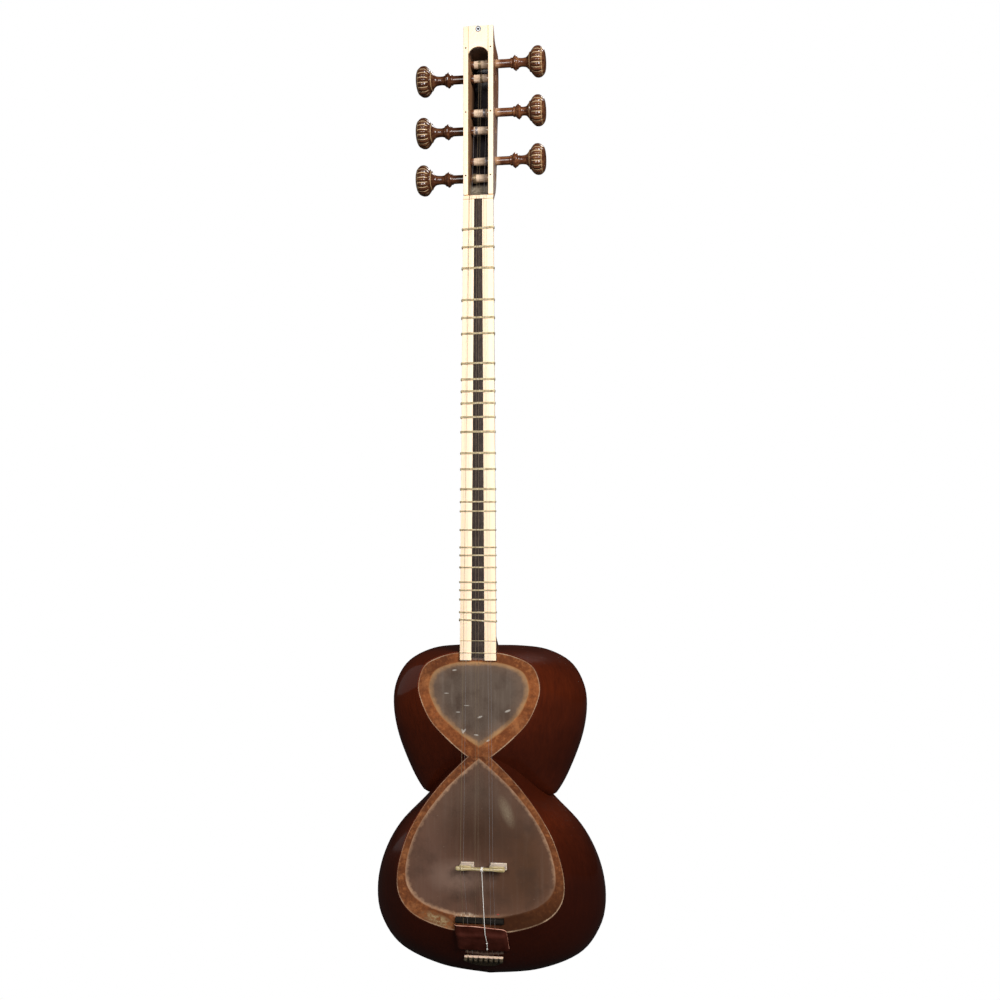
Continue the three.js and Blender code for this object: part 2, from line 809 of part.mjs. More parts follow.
function addNut() {
  const crest = -nutRise + bassWire / 2 + stringHold;
  const foot = nutLevel + glueGap;
  const profile = [
    [foot, overlayThickness],
    [foot, crest],
    [nutLevel + nutCrest, crest],
    [nutLevel + nutLength, nutBackDepth],
    [nutLevel + nutLength, overlayThickness],
  ];
  add(neck, "nut", sidePrism(profile, -neckWidthAtNut / 2, neckWidthAtNut / 2), bone);
}

// Tuning pegs, drawn along Y from the far end to the head and then turned to lie along X
function pegShape(side) {
  const half = pegboxWidth / 2;
  const collarRadius = pegCollarDiameter / 2;
  const headRadius = pegHeadDiameter / 2;
  const [collarStart, collarCrest, collarEnd] = collarShares.map((share) => half + share * pegReach);
  const shaft = shaftRadiusAt(half);
  const profile = [
    [0, -half + runningGap],
    [shaftRadiusAt(-half), -half + runningGap],
    [shaft, half],
    [shaft, collarStart],
    [collarRadius, collarCrest],
    [shaft, collarEnd],
    [waistRadiusShare * shaft, half + waistShare * pegReach],
    ...pegHeadShares.map(([reach, radius]) => [radius * headRadius, half + reach * pegReach]),
    [0, half + pegReach + pegCrown],
  ];
  const points = profile.map(([r, y]) => new THREE.Vector2(r, y));
  return new THREE.LatheGeometry(points, pegSides).rotateZ((-side * Math.PI) / 2);
}

function addPegs() {
  for (const peg of pegs) {
    const mesh = add(neck, `peg_${peg.name}`, geometryOf(solid(pegShape(peg.side))), pegWood);
    mesh.position.set(0, pegAxisDepth, peg.z);
  }
}

// Screw in the facing, drawn along Y with its head in front
function screwShape(grow = 0) {
  const headRadius = screwHeadDiameter / 2 + grow;
  const shankRadius = screwShankDiameter / 2 + grow;
  const points = [
    [0, 0],
    [driveDiameter / 2, 0],
    [driveDiameter / 2, -driveDepth],
    [headRadius, -driveDepth],
    [headRadius, screwHeadThickness - driveDepth + grow],
    [shankRadius, screwHeadThickness - driveDepth + grow],
    [shankRadius, screwLength + grow],
    [0, screwLength + grow],
  ];
  return points;
}

function screwLathe(points) {
  const turned = new THREE.LatheGeometry(points.map(([r, y]) => new THREE.Vector2(r, y)), pegSides);
  return turned.translate(0, 0, pegboxTop - screwDrop);
}

const screwHole = () =>
  screwLathe([
    [0, -cutOverrun],
    [screwHeadDiameter / 2 + glueGap, -cutOverrun],
    ...screwShape(glueGap).slice(4),
  ]);

function addScrew() {
  add(neck, "pegbox_screw", geometryOf(solid(screwLathe(screwShape()))), steel);
}

// Bridge
const bridgeTop = -widestDepth - bridgeHeight;

function addBridge() {
  const half = bridgeWidth / 2;
  const seat = skinFront - glueGap;
  const beamBack = bridgeTop + beamThickness;
  const crest = [
    [-beamLength / 2, beamBack],
    [-beamLength / 2, bridgeTop + beamLength / 2],
    [-beamLength / 8, bridgeTop],
    [beamLength / 8, bridgeTop],
    [beamLength / 2, bridgeTop + beamLength / 2],
    [beamLength / 2, beamBack],
  ];
  let made = solid(sidePrism(crest.map(([z, y]) => [z + bridgeLevel, y]), -half, half));
  for (const side of [-1, 1]) {
    const [inner, outer] = [side * (half - legInset - legWidth), side * (half - legInset)];
    const [low, high] = [Math.min(inner, outer), Math.max(inner, outer)];
    const leg = box(
      [low, beamBack - beamThickness / 2, bridgeLevel - legLength / 2],
      [high, seat - footThickness / 2, bridgeLevel + legLength / 2],
    );
    const foot = box(
      [low - footSpread, seat - footThickness, bridgeLevel - footLength / 2],
      [high + footSpread, seat, bridgeLevel + footLength / 2],
    );
    made = made.add(solid(leg)).add(solid(foot));
  }
  add(tar, "bridge", geometryOf(made).translate(bridgeAside, 0, 0), horn);
}

// Tail
const saddleBack = skinFront - glueGap;
const saddleFront = saddleBack - saddleHeight;

function addSaddle() {
  const round = saddleLength / 4;
  const top = saddleLevel + saddleLength;
  const profile = [
    [saddleLevel, saddleBack],
    [saddleLevel, saddleFront + round],
    [saddleLevel + round, saddleFront],
    [top - round, saddleFront],
    [top, saddleFront + round],
    [top, saddleBack],
  ];
  add(tar, "tail_saddle", sidePrism(profile, -saddleWidth / 2, saddleWidth / 2), ebony);
}

// The string holder lies flat against the body's round end, so its tilt follows from it
const holderMiddle = holderTop - holderLength / 2;
const holderSlope =
  (tailSurface(0, holderMiddle - toothLength) - tailSurface(0, holderMiddle + toothLength)) /
  (2 * toothLength);
const holder = new THREE.Group();
holder.position.set(0, tailSurface(0, holderMiddle) - glueGap, holderMiddle);
holder.rotation.x = Math.atan(holderSlope);
tar.add(holder);
tar.updateMatrixWorld(true);
const toothPitch = holderWidth / (toothCount - 1 + toothShare);

function addStringHolder() {
  const half = holderWidth / 2;
  const top = holderLength / 2;
  const shape = new THREE.Shape();
  shape.moveTo(half, top);
  shape.lineTo(-half, top);
  shape.lineTo(-half, top - toothLength);
  shape.absellipse(0, top - toothLength, half, holderLength - toothLength, Math.PI, 2 * Math.PI, false);
  shape.closePath();
  let made = solid(frontPrism(shape, -holderThickness, 0));
  for (let i = 0; i < toothCount; i++) {
    const x = (i - (toothCount - 1) / 2) * toothPitch;
    const wide = (toothShare * toothPitch) / 2;
    const tooth = box(
      [x - wide, -holderThickness - toothHeight, top - toothLength],
      [x + wide, -holderThickness / 2, top],
    );
    made = made.add(solid(tooth));
  }
  add(holder, "string_holder", geometryOf(made), bone);
}

// Strings

// Places across the neck of the six strings, from left to right.
const stringPlaces = (course, pair) =>
  [-course, 0, course].flatMap((x) => [x - pair / 2, x + pair / 2]);
const nutPlaces = stringPlaces(courseSpacingAtNut, pairSpacingAtNut);
const bridgePlaces = stringPlaces(courseSpacingAtBridge, pairSpacingAtBridge);
// The gap in the comb that takes each string, counted from the middle one, which stays free
const combGaps = [-3, -2, -1, 1, 2, 3];
const stringPegs = ["left_1", "left_2", "left_3", "right_3", "right_2", "right_1"];

// Where a string touches its peg: it comes straight from the nut to the front of the shaft.
function pegContact(i) {
  const peg = pegs.find(({ name }) => name === stringPegs[i]);
  const radius = shaftRadiusAt(peg.side * nutPlaces[i]) + runningGap + wireDiameters[i] / 2;
  const start = new THREE.Vector2(nutLevel + nutCrest, -nutRise);
  const reach = new THREE.Vector2(peg.z, pegAxisDepth).sub(start);
  const angle = reach.angle() - Math.asin(radius / reach.length());
  const run = Math.sqrt(reach.lengthSq() - radius ** 2);
  const end = start.clone().add(new THREE.Vector2(run, 0).rotateAround(new THREE.Vector2(), angle));
  return { peg, radius, angle, end: new THREE.Vector3(nutPlaces[i], end.y, end.x) };
}

function stringRoute(i) {
  const lift = wireDiameters[i] / 2 + stringHold;
  const bridgeAt = bridgePlaces[i];
  const combAt = combGaps[i] * toothPitch;
  const saddleAt = (z) => mix(combAt, bridgeAt, (z - holderTop) / (bridgeLevel - holderTop));
  const edge = lowerEdge(faceOutline(largeBowl), saddleAt(largeFaceBottom));
  const over = (z, y) => new THREE.Vector3(saddleAt(z), y, z);
  const top = saddleLevel + saddleLength;
  return [
    holder.localToWorld(
      new THREE.Vector3(combAt, -holderThickness - lift - stringHold, (holderLength - toothLength) / 2),
    ),
    over(edge, skinFront - lift),
    over(saddleLevel, saddleFront - lift),
    over(top, saddleFront - lift),
    new THREE.Vector3(bridgeAt, bridgeTop - bridgeSlideGap - wireDiameters[i] / 2, bridgeLevel),
    neck.localToWorld(new THREE.Vector3(nutPlaces[i], -nutRise, nutLevel + nutCrest)),
    neck.localToWorld(pegContact(i).end),
  ];
}

// The string's end on its peg: a helix beside the place where the string arrives.
function windingPoints(i) {
  const { peg, radius, angle, end } = pegContact(i);
  const pitch = wireDiameters[i] + windingGap;
  const inward = i < wireDiameters.length / 2 ? 1 : -1;
  const points = [];
  const steps = windingTurns * windingSteps;
  for (let k = 0; k <= steps; k++) {
    const turn = (2 * Math.PI * k) / windingSteps;
    const x = end.x + inward * pitch * (1 + k / windingSteps);
    const y = pegAxisDepth - radius * Math.cos(angle + turn);
    points.push(new THREE.Vector3(x, y, peg.z + radius * Math.sin(angle + turn)));
  }
  const straight = (from, to) => to.clone().sub(from).setLength(wireDiameters[i]).add(to);
  points.unshift(straight(points[1], points[0]));
  points.push(straight(points.at(-2), points.at(-1)));
  return points;
}

function selfGap(points, diameter) {
  let least = Infinity;
  for (let a = 0; a < points.length; a++) {
    for (let b = a + windingSteps / 2; b < points.length; b++) {
      least = Math.min(least, points[a].distanceTo(points[b]) - diameter);
    }
  }
  return least;
}

function addStrings() {
  wireDiameters.forEach((diameter, i) => {
    const metal = diameter === plainWire ? steel : brass;
    add(tar, `string_${i + 1}`, wire(stringRoute(i), diameter), metal);
    const turns = windingPoints(i);
    console.log(`winding ${i + 1}: least gap to itself ${selfGap(turns, diameter).toFixed(2)} mm`);
    add(neck, `winding_${i + 1}`, wire(turns, diameter), metal);
  });
}

// The wrist pad bridges the strings, and its side edges come down to the body
function addWristPad() {
  const half = padWidth / 2;
  const stringTop = (z) => {
    const edge = lowerEdge(faceOutline(largeBowl), 0);
    if (z >= edge) return mix(skinFront, saddleFront, (z - edge) / (saddleLevel - edge));
    return tailSurface(0, z) - padRise;
  };
  const rings = [];
  for (let i = 0; i <= padSteps; i++) {
    const z = mix(padBottom, padTop, i / padSteps);
    const inner = stringTop(z) - padClearance;
    const outer = inner - padThickness;
    const seat = tailSurface(half, z) - padSeatGap;
    const innerSeat = tailSurface(half - padLip, z) - padSeatGap;
    const corners = [
      [-half, seat],
      [-half, outer + padThickness / 2],
      [-half + padThickness, outer],
      [half - padThickness, outer],
      [half, outer + padThickness / 2],
      [half, seat],
      [half - padLip, innerSeat],
      [half - padLip, inner],
      [-half + padLip, inner],
      [-half + padLip, innerSeat],
    ];
    rings.push(corners.map(([x, y]) => new THREE.Vector3(x, y, z)));
  }
  add(tar, "wrist_pad", loft(rings), leather);
}

const stringLength = neck
  .localToWorld(new THREE.Vector3(0, -nutRise, nutLevel))
  .distanceTo(new THREE.Vector3(0, bridgeTop, bridgeLevel));

addBody();
addSkins();
addNeck();
addOverlays();
addFrets();
addPegbox();
addNut();
addPegs();
addScrew();
addBridge();
addSaddle();
addStringHolder();
addStrings();
addWristPad();

export default tar;
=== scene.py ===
"""A Persian tar: a long-necked lute with a double bowl of lacquered mulberry, two skin faces,
a neck faced with bone, tied gut frets, six turned pegs and three double courses of wire."""

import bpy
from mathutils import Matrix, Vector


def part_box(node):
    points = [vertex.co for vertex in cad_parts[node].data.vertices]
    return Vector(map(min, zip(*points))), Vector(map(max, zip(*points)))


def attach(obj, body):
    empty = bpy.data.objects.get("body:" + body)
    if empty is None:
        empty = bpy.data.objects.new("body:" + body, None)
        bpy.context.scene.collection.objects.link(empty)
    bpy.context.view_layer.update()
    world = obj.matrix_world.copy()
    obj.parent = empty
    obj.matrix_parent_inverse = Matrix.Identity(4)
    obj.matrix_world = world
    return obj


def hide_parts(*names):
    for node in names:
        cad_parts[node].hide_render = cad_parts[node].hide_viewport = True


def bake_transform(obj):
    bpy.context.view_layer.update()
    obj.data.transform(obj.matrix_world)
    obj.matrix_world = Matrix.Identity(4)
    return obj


bl_info = {
    "name": "Persian Tar",
    "version": (1, 0, 0),
    "blender": (4, 5, 0),
    "location": "View3D > Sidebar > Tar",
    "description": "Builds the looks of a Persian tar round its packed solids",
    "category": "Add Mesh",
}

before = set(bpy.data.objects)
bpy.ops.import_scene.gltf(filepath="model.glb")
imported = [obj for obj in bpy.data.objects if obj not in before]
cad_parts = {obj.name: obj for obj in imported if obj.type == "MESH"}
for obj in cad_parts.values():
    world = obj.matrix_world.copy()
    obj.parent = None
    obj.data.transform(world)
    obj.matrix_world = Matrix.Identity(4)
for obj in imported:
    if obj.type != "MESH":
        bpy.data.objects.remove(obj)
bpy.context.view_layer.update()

import math

import bmesh
import bpy
from bpy.props import FloatProperty, FloatVectorProperty, PointerProperty
from mathutils import Vector

MM = 0.001

# Fits
GLUE_GAP = 0.2 * MM
RUNNING_GAP = 0.3 * MM
SEAM_GAP = 0.1 * MM
OVERRUN = 2 * MM

# Outlines run from the top to the bottom of the right half, as shares of half the width and
# of the length
LARGE_BOWL_SHARES = [
    (0, 1), (0.271, 0.887), (0.51, 0.729), (0.79, 0.593), (0.941, 0.464),
    (1, 0.331), (0.959, 0.208), (0.78, 0.095), (0.42, 0.024), (0, 0),
]
LARGE_FACE_SHARES = [
    (0, 1), (0.252, 0.895), (0.48, 0.785), (0.706, 0.646), (0.882, 0.495),
    (0.988, 0.316), (0.965, 0.181), (0.776, 0.081), (0.4, 0.018), (0, 0),
]
SMALL_BOWL_SHARES = [
    (0, 1), (0.32, 1), (0.6, 0.975), (0.84, 0.89), (0.97, 0.746), (1, 0.586),
    (0.95, 0.387), (0.82, 0.161), (0.7, 0.018), (0.62, -0.012), (0.3, 0), (0, 0),
]
SMALL_FACE_SHARES = [
    (0, 1), (0.341, 0.996), (0.65, 0.954), (0.894, 0.876), (1, 0.721),
    (0.967, 0.579), (0.805, 0.39), (0.553, 0.239), (0.276, 0.109), (0, 0),
]
OUTLINE_STEPS = 56
ARC_SAMPLES = 400
FRONT_STEPS = 14
BACK_STEPS = 22
BACK_SWEEP = math.radians(89)

# Depth of the pegbox: share of the way from the nut to the top, share of the greatest depth
PEGBOX_DEPTH_SHARES = [
    (0.12, 0.61), (0.26, 0.72), (0.47, 0.85), (0.62, 0.96), (0.74, 1), (0.84, 0.96), (1, 0.9),
]
# The sloping top: share of the depth, share of the pegbox's length below the top
TOP_SLOPE_SHARES = [(0.07, 0), (0.26, 0.075), (0.52, 0.105), (0.78, 0.13), (1.1, 0.22)]

# Frets: places as shares of the string length below the nut
FRET_SHARES = [
    0.045, 0.073, 0.105, 0.153, 0.18, 0.204, 0.249, 0.273, 0.291, 0.309, 0.33, 0.352, 0.384,
    0.408, 0.438, 0.457, 0.471, 0.499, 0.525, 0.537, 0.555, 0.577, 0.589, 0.603, 0.622, 0.634,
]
FRET_SLANTS = {"tied_fret_01": 0.05, "tied_fret_26": -0.05}
GLUED_FRET_SHARES = [0.664, 0.682]

# Pegs: heights above the nut as shares of the pegbox's length
PEG_SHARES = {
    "right_1": 0.239, "right_2": 0.521, "right_3": 0.805,
    "left_1": 0.142, "left_2": 0.42, "left_3": 0.724,
}
STRING_PEGS = ["left_1", "left_2", "left_3", "right_3", "right_2", "right_1"]
# Where each peg's collar stands: share of the reach
PEG_COLLAR_SHARE = 0.338
PEG_COLLARS = {
    "right_1": 0.4, "right_2": 0.48, "right_3": 0.41,
    "left_1": 0.35, "left_2": 0.37, "left_3": 0.36,
}
# A peg outside the box: share of the reach, radius as a share of the head's
PEG_TURNING_SHARES = [
    (0, 0.28), (0.24, 0.28), (0.255, 0.33), (0.275, 0.34), (0.29, 0.33), (0.3, 0.4),
    (0.315, 0.45), (0.338, 0.51), (0.36, 0.46), (0.375, 0.42), (0.395, 0.42), (0.41, 0.36),
    (0.43, 0.31), (0.48, 0.28), (0.54, 0.285), (0.61, 0.32), (0.655, 0.42), (0.685, 0.52),
    (0.69, 0.585), (0.705, 0.64), (0.72, 0.63), (0.728, 0.7), (0.765, 0.86), (0.81, 0.97),
    (0.86, 1), (0.91, 0.975), (0.955, 0.88), (0.985, 0.76), (1, 0.62),
]
HEAD_SHARE = 0.66
# The flutes of a peg's head rise and end over these shares of the reach
FLUTE_START_SHARES, FLUTE_END_SHARES = (0.7, 0.76), (0.96, 1)
# The crown over the end of a peg's head: shares of its last radius
PEG_CROWN_SHARES = [0.72, 0.4, 0.12]

# Bowls and skins
TAIL_FLAT_CUT = 0.8 * MM
LARGE_RIM, LARGE_RIM_TOP, RIM_TAIL = 10.5 * MM, 13 * MM, 17.5 * MM
SMALL_RIM, SMALL_RIM_TIP, SMALL_RIM_TOP = 12.5 * MM, 20.5 * MM, 11 * MM
SKIN_CENTRE = {"large": 0.42, "small": 0.6}
SKIN_BORDER_STEPS, SKIN_STEPS = 6, 12
SKIN_CLOSING_SHARE = 0.98

# Neck
HEEL_LENGTH, HEEL_DEPTH, HEEL_STEPS = 24 * MM, 34 * MM, 12
NECK_STEPS, NECK_LEVELS = 36, 24
NECK_SIDE, NECK_SHOULDER, NECK_LEAN = 7 * MM, 3.4 * MM, 1.6 * MM
NECK_TILT = math.radians(2.1)
NECK_PROUD = 4.2 * MM
NECK_END_LEVEL = 326 * MM
# How square the section is: 2 is an ellipse, and more is squarer
NECK_SQUARENESS, HEEL_SQUARENESS, PEGBOX_SQUARENESS = 2.2, 4, 6
# Over these shares of the heel's length the neck's sides begin to lean in
LEAN_SHARES = (0.4, 1.3)
OVERLAY, STRIP_ROUNDING = 2.6 * MM, 0.3 * MM
NUT_LENGTH, NUT_RISE, NUT_ROUNDING = 4.4 * MM, 1.1 * MM, 0.25 * MM
TENON_WIDTH, TENON_LENGTH, TENON_DEPTH = 24 * MM, 30 * MM, 24 * MM
SPLICE_LENGTH = 32 * MM
TONGUE_WIDTH, TONGUE_FRONT, TONGUE_THICKNESS, TONGUE_LENGTH = 13 * MM, 6 * MM, 10 * MM, 20 * MM

# Frets and their knots
FRET_BAND_NUT, FRET_BAND_BODY = 2.8 * MM, 2 * MM
FRET_HOLD, SLANT_REACH = 0.2 * MM, 3 * MM
FRET_CORNER_STEPS = 4
KNOT_DEPTH, KNOT_GAP, KNOT_HALF_WIDTH, KNOT_RUN = 3.5 * MM, 0.35 * MM, 0.372 * MM, 1.6 * MM
KNOT_LOOPS, KNOT_STEPS, KNOT_RISE_SHARE, KNOT_GUT_SHARE = 2, 48, 0.42, 0.42
# From a knot to the end of its gut: across, back and up
KNOT_END = (-0.3 * MM, 1.4 * MM, 0.8 * MM)
GLUED_FRET_LIFT, GLUED_FRET_STEPS = 0.02 * MM, 6

# Pegbox
PEGBOX_LEVELS, PEGBOX_FLOOR = 44, 6 * MM
SLOT_TOP_MARGIN, SLOT_RAMP, SLOT_CEILING_DROP = 21 * MM, 7 * MM, 10 * MM
ARCH_RISE, ARCH_STEPS = 8 * MM, 32
SLOT_FLOOR_STEPS, TOP_SLOPE_STEPS = 12, 16
# A point this near the slot counts as its wall or its floor
WALL_SLACK, FLOOR_SLACK = 0.05 * MM, 0.5 * MM
# How much shade is painted in the slot at its right wall and under its arch, and how far below the arch that
# starts
RIGHT_WALL_SHADE, ARCH_SHADE = 0.75, 0.85
ARCH_SHADE_DROPS = (12 * MM, 4 * MM)

# Pegs
PEG_AXIS_DEPTH = 16 * MM
PEG_SHAFT, PEG_TAPER, PEG_CROWN, PEG_CHAMFER = 8.6 * MM, 1.2 * MM, 0.8 * MM, 0.3 * MM
PEG_SIDES, PEG_HOLE_SIDES, PEG_STEPS = 144, 32, 90
PEG_FLUTES, PEG_FLUTE_DEPTH = 18, 0.06
PEG_LINE_SHARES = [0.7, 0.955]
BARE_HALF = 6.2 * MM
BARE_SHAFT = [-12 * MM, -8 * MM, -4 * MM, 0, 4 * MM, 8 * MM, 12 * MM, 13.5 * MM]

# Screw and pins of the facing, and the line that runs down its rails
SCREW_DROP = 3.2 * MM
SCREW_HEAD, SCREW_SOCKET, SCREW_SHANK = 2.7 * MM, 1.1 * MM, 1 * MM
SCREW_SEAT, SCREW_LENGTH = 0.8 * MM, 11 * MM
SCREW_EDGE, SCREW_RISE, SCREW_RIM = 0.1 * MM, 0.2 * MM, 0.65 * MM
SCREW_POINT, SCREW_SOCKET_DEPTH = 1 * MM, 0.6 * MM
PIN_DROPS = [21.8 * MM, 86.3 * MM, 150.2 * MM]
PIN_RADIUS, PIN_SIDES = 0.85 * MM, 16
# A pin: depth behind the facing's front, share of its radius
PIN_PROFILE = [(1.2 * MM, 1), (-0.02 * MM, 1), (-0.14 * MM, 0.8), (-0.18 * MM, 0.4)]
JOINT_LINE = 0.3 * MM

# Strings wound on the pegs
WINDING_TURNS, WINDING_STEPS, WIRE_SHARE = 7, 24, 0.8

# Bridge
BRIDGE_BEAM_END, BRIDGE_BEAM_WAIST, BRIDGE_BEAM_DEPTH = 4.6 * MM, 3.2 * MM, 4.4 * MM
BRIDGE_END_SHARE, BRIDGE_END_NARROWING, BRIDGE_THICKENING_SHARES = 0.94, 0.75, (0.45, 0.8)
BRIDGE_STEPS, BRIDGE_SIDES, BRIDGE_SQUARENESS = 40, 20, 0.8
BRIDGE_LEG_PLACES, BRIDGE_LEG_WIDTHS = [-11.8 * MM, 19.3 * MM], [11.6 * MM, 14.6 * MM]
BRIDGE_LEG_LENGTH, BRIDGE_LEG_RISE, BRIDGE_LEG_TOP_SHARE = 3.6 * MM, 1.2 * MM, 0.6
BRIDGE_FOOT_LENGTH, BRIDGE_FOOT_THICKNESS, BRIDGE_FOOT_MARGIN = 6.6 * MM, 2.2 * MM, 0.6 * MM
BRIDGE_ROUNDING = 0.45 * MM
# Between the strings and the beam behind them
STRING_GAP = 0.15 * MM

# Thread tied to the bridge
THREAD_RADIUS, THREAD_STEPS = 0.32 * MM, 40
THREAD_TURNS, THREAD_TURN_STEPS, THREAD_HOLD_SHARE = 3, 20, 0.9
THREAD_KNOT_X, THREAD_SWAY, THREAD_SWAY_PACE = 4.7 * MM, 1.1 * MM, 0.41
# Where the thread leaves the beam: to the right, behind its front and below its wound turns
THREAD_LEAVES = (0.3 * MM, 0.3 * MM, 1 * MM)
THREAD_PLACES = [(5.9 * MM, 65 * MM), (6.3 * MM, 56 * MM), (6.6 * MM, 47.8 * MM), (5.9 * MM, 40.6 * MM)]
PAD_KNOTS, PAD_KNOT_STEPS, PAD_KNOT_POINTS = 2, 12, 19
PAD_KNOT_RADIUS, PAD_KNOT_LIFT, PAD_KNOT_RISE = 0.55 * MM, 0.6 * MM, 0.15

# Wrist pad, saddle and comb
PAD_LEFT, PAD_RIGHT, PAD_BOTTOM = -25 * MM, 27.3 * MM, 38 * MM
PAD_TOP_LEFT, PAD_TOP_RIGHT, PAD_CORNER = 66.5 * MM, 64 * MM, 5 * MM
PAD_SIDE, PAD_CROWN, PAD_SKIN = 4 * MM, 0.7 * MM, 1.4 * MM
PAD_EDGE_SHARE, PAD_SLOPE_SHARES = 0.12, (0.3, 1)
PAD_GRID = (48, 28)
# Points of the pad's solid that differ by less in height are on the same level
SAME_LEVEL = 0.02 * MM
PIPING, PIPING_STEPS, SIDE_PIPING_STEPS = 0.35 * MM, 60, 40
PIPING_LIFT_SHARES, SIDE_PIPING_SHARE = (0.4, 0.2), 0.975
PAD_ROUNDING, SADDLE_ROUNDING, COMB_ROUNDING = 0.5 * MM, 0.4 * MM, 0.3 * MM
COMB_DULL_LEVEL, COMB_DULL_FADE = 27.5 * MM, 0.3 * MM

# Marks on the skins: x, z, half the width, half the height, turn
WHITE_MARKS = [
    (-24 * MM, 315.8 * MM, 2.6 * MM, 0.9 * MM, -0.1), (-32.2 * MM, 292.9 * MM, 2.8 * MM, 0.5 * MM),
    (-20.6 * MM, 274.5 * MM, 2.5 * MM, 0.7 * MM), (-12.1 * MM, 281.1 * MM, 3.2 * MM, 0.5 * MM),
    (1.2 * MM, 270.1 * MM, 3 * MM, 1.1 * MM, -0.35), (28.8 * MM, 276.5 * MM, 3.6 * MM, 1.2 * MM, -0.4),
    (-16.3 * MM, 255.8 * MM, 1.2 * MM, 3 * MM, -0.3), (-14.3 * MM, 256.4 * MM, 1 * MM, 2.6 * MM, 0.6),
    (-2.5 * MM, 252.4 * MM, 2.8 * MM, 0.9 * MM, 0.1), (9.1 * MM, 247.1 * MM, 2.2 * MM, 0.9 * MM, -0.5),
]
BEIGE_PATCH = (27 * MM, 178 * MM, 7 * MM, 19 * MM, math.radians(-21.6))
DARK_CLOUD = (-2 * MM, 156 * MM, 44 * MM, 36 * MM)
PALE_CLOUD = (-20 * MM, 112 * MM, 38 * MM, 21 * MM)
WORN_PATCH = (-42 * MM, 69 * MM, 20 * MM, 7 * MM, math.radians(21.5))
# Painted reflections of the strings on the skin just above the saddle
SADDLE_STRING_REFLECTIONS = (-14 * MM, 74 * MM, 14 * MM, 4.4 * MM)
RED_MARK = (18 * MM, 77 * MM, 1.6 * MM, 0.8 * MM)

# Where the skins change, from and to: levels, and places across
SKINS_PART = (230.5 * MM, 231.5 * MM)
MEMBRANE_SIDES = (-55 * MM, 50 * MM)
MEMBRANE_UPPER, MEMBRANE_TIP = (150 * MM, 200 * MM), (170 * MM, 230 * MM)
WARM_LEVELS, WARM_SIDE = (120 * MM, 200 * MM), (0, 50 * MM)
DUSKY_LEVELS, DUSKY_SIDE = (75 * MM, 130 * MM), (-5 * MM, 20 * MM)
FADED_LEVELS, FADED_SIDE = (130 * MM, 90 * MM), (-10 * MM, 30 * MM)
SKIN_TONES = {
    "right side": (0.07, 0.033, 0.018), "upper part": (0.088, 0.056, 0.04), "tip": (0.045, 0.03, 0.022),
    "dark cloud": (0.045, 0.022, 0.013), "pale cloud": (0.18, 0.112, 0.083), "stain": (0.045, 0.026, 0.018),
    "halo": (0.12, 0.06, 0.038), "small halo": (0.17, 0.1, 0.065), "streak": (0.2, 0.16, 0.13),
    "scratch": (0.34, 0.28, 0.23), "pore": (0.24, 0.19, 0.15), "beige": (0.3, 0.24, 0.16),
    "white mark": (0.46, 0.42, 0.37), "red mark": (0.3, 0.05, 0.04),
}
BORDER_TONES = {
    "warm": (0.2, 0.06, 0.018), "dark": (0.07, 0.02, 0.008), "orange": (0.3, 0.12, 0.045),
    "hair": (0.5, 0.4, 0.28), "stain": (0.06, 0.02, 0.009), "rubbed": (0.38, 0.14, 0.045),
    "pore": (0.03, 0.012, 0.007), "worn": (0.34, 0.25, 0.13), "dusky": (0.03, 0.01, 0.004),
    "rim": (0.42, 0.25, 0.15), "small rim": (0.4, 0.21, 0.085), "edge": (0.45, 0.31, 0.2),
    "string reflection": (0.55, 0.47, 0.36),
}

# Where the other finishes change, from and to
# Where the painted light and shade on the lacquer run: up the body, and across it from left to right
PAINTED_LIGHT_LEVELS, PAINTED_LIGHT_SIDES = (0, 340 * MM), (-100 * MM, 100 * MM)
# Painted light and shade on the lacquer, lighter on the bellies and darker at the bottom and the waist: share
# of the body's height, brightness
PAINTED_LIGHT_SHARES = [
    (0, 0.1), (0.12, 0.22), (0.3, 0.32), (0.4, 0.6), (0.5, 0.95), (0.57, 0.5),
    (0.63, 0.32), (0.74, 0.45), (0.87, 1), (0.97, 0.8),
]
# Where a pale grey sheen is painted on the pegbox's outside: fading out towards the top, and fading in at its
# foot
PAINTED_SHEEN_TOP, PAINTED_SHEEN_FOOT = (800 * MM, 900 * MM), (775 * MM, 790 * MM)
RAMP_FOOT = (797 * MM, 801 * MM)
BEAM_BACK = (-76.2 * MM, -75.2 * MM)
SHADED_PEGS = (-20 * MM, 20 * MM)
BARE_FADE = 0.8 * MM
# How deep red, green and blue light goes into bone and horn, and into gut
FLESH_DEPTHS = (3 * MM, 2 * MM, 1 * MM)
GUT_DEPTHS = (1 * MM, 0.7 * MM, 0.3 * MM)

# The camera stands where the photograph was taken from. Angles are in degrees, the lens and the
# sensor in millimetres.
CAMERA_TURN = 9.5
CAMERA_ROLL = 0.35
CAMERA_ASIDE = 11.8 * MM
CAMERA_LEVEL = 483 * MM
CAMERA_DISTANCE = 1.4
CAMERA_LENS, CAMERA_SENSOR = 49.07, 36
FLOOR_RADIUS, FLOOR_SIDES = 6, 96
FLOOR_DROP = 3 * MM
BACKDROP_GLOW = 1.0
ROOM_GLOW = 0.012
FLOOR_TONE = 0.03
# Name, place, what it shines at, size in metres, power in watts
LIGHTS = [
    ("key_light", (1.4, -2.0, 1.5), (0, 0, 0.45), (0.9, 1.2), 88),
    ("fill_light", (-0.4, -2.8, 1.1), (0, 0, 0.5), (0.7, 1.3), 36),
    ("back_light", (0.45, 1.2, 1.9), (0, 0, 0.3), (0.6, 0.4), 7),
    ("side_light", (-2.2, 0.2, 0.6), (0, 0, 0.4), (3.0, 1.8), 2.5),
    ("rear_light", (0.6, 2.3, 1.0), (0, 0, 0.4), (1.2, 1.2), 26),
]
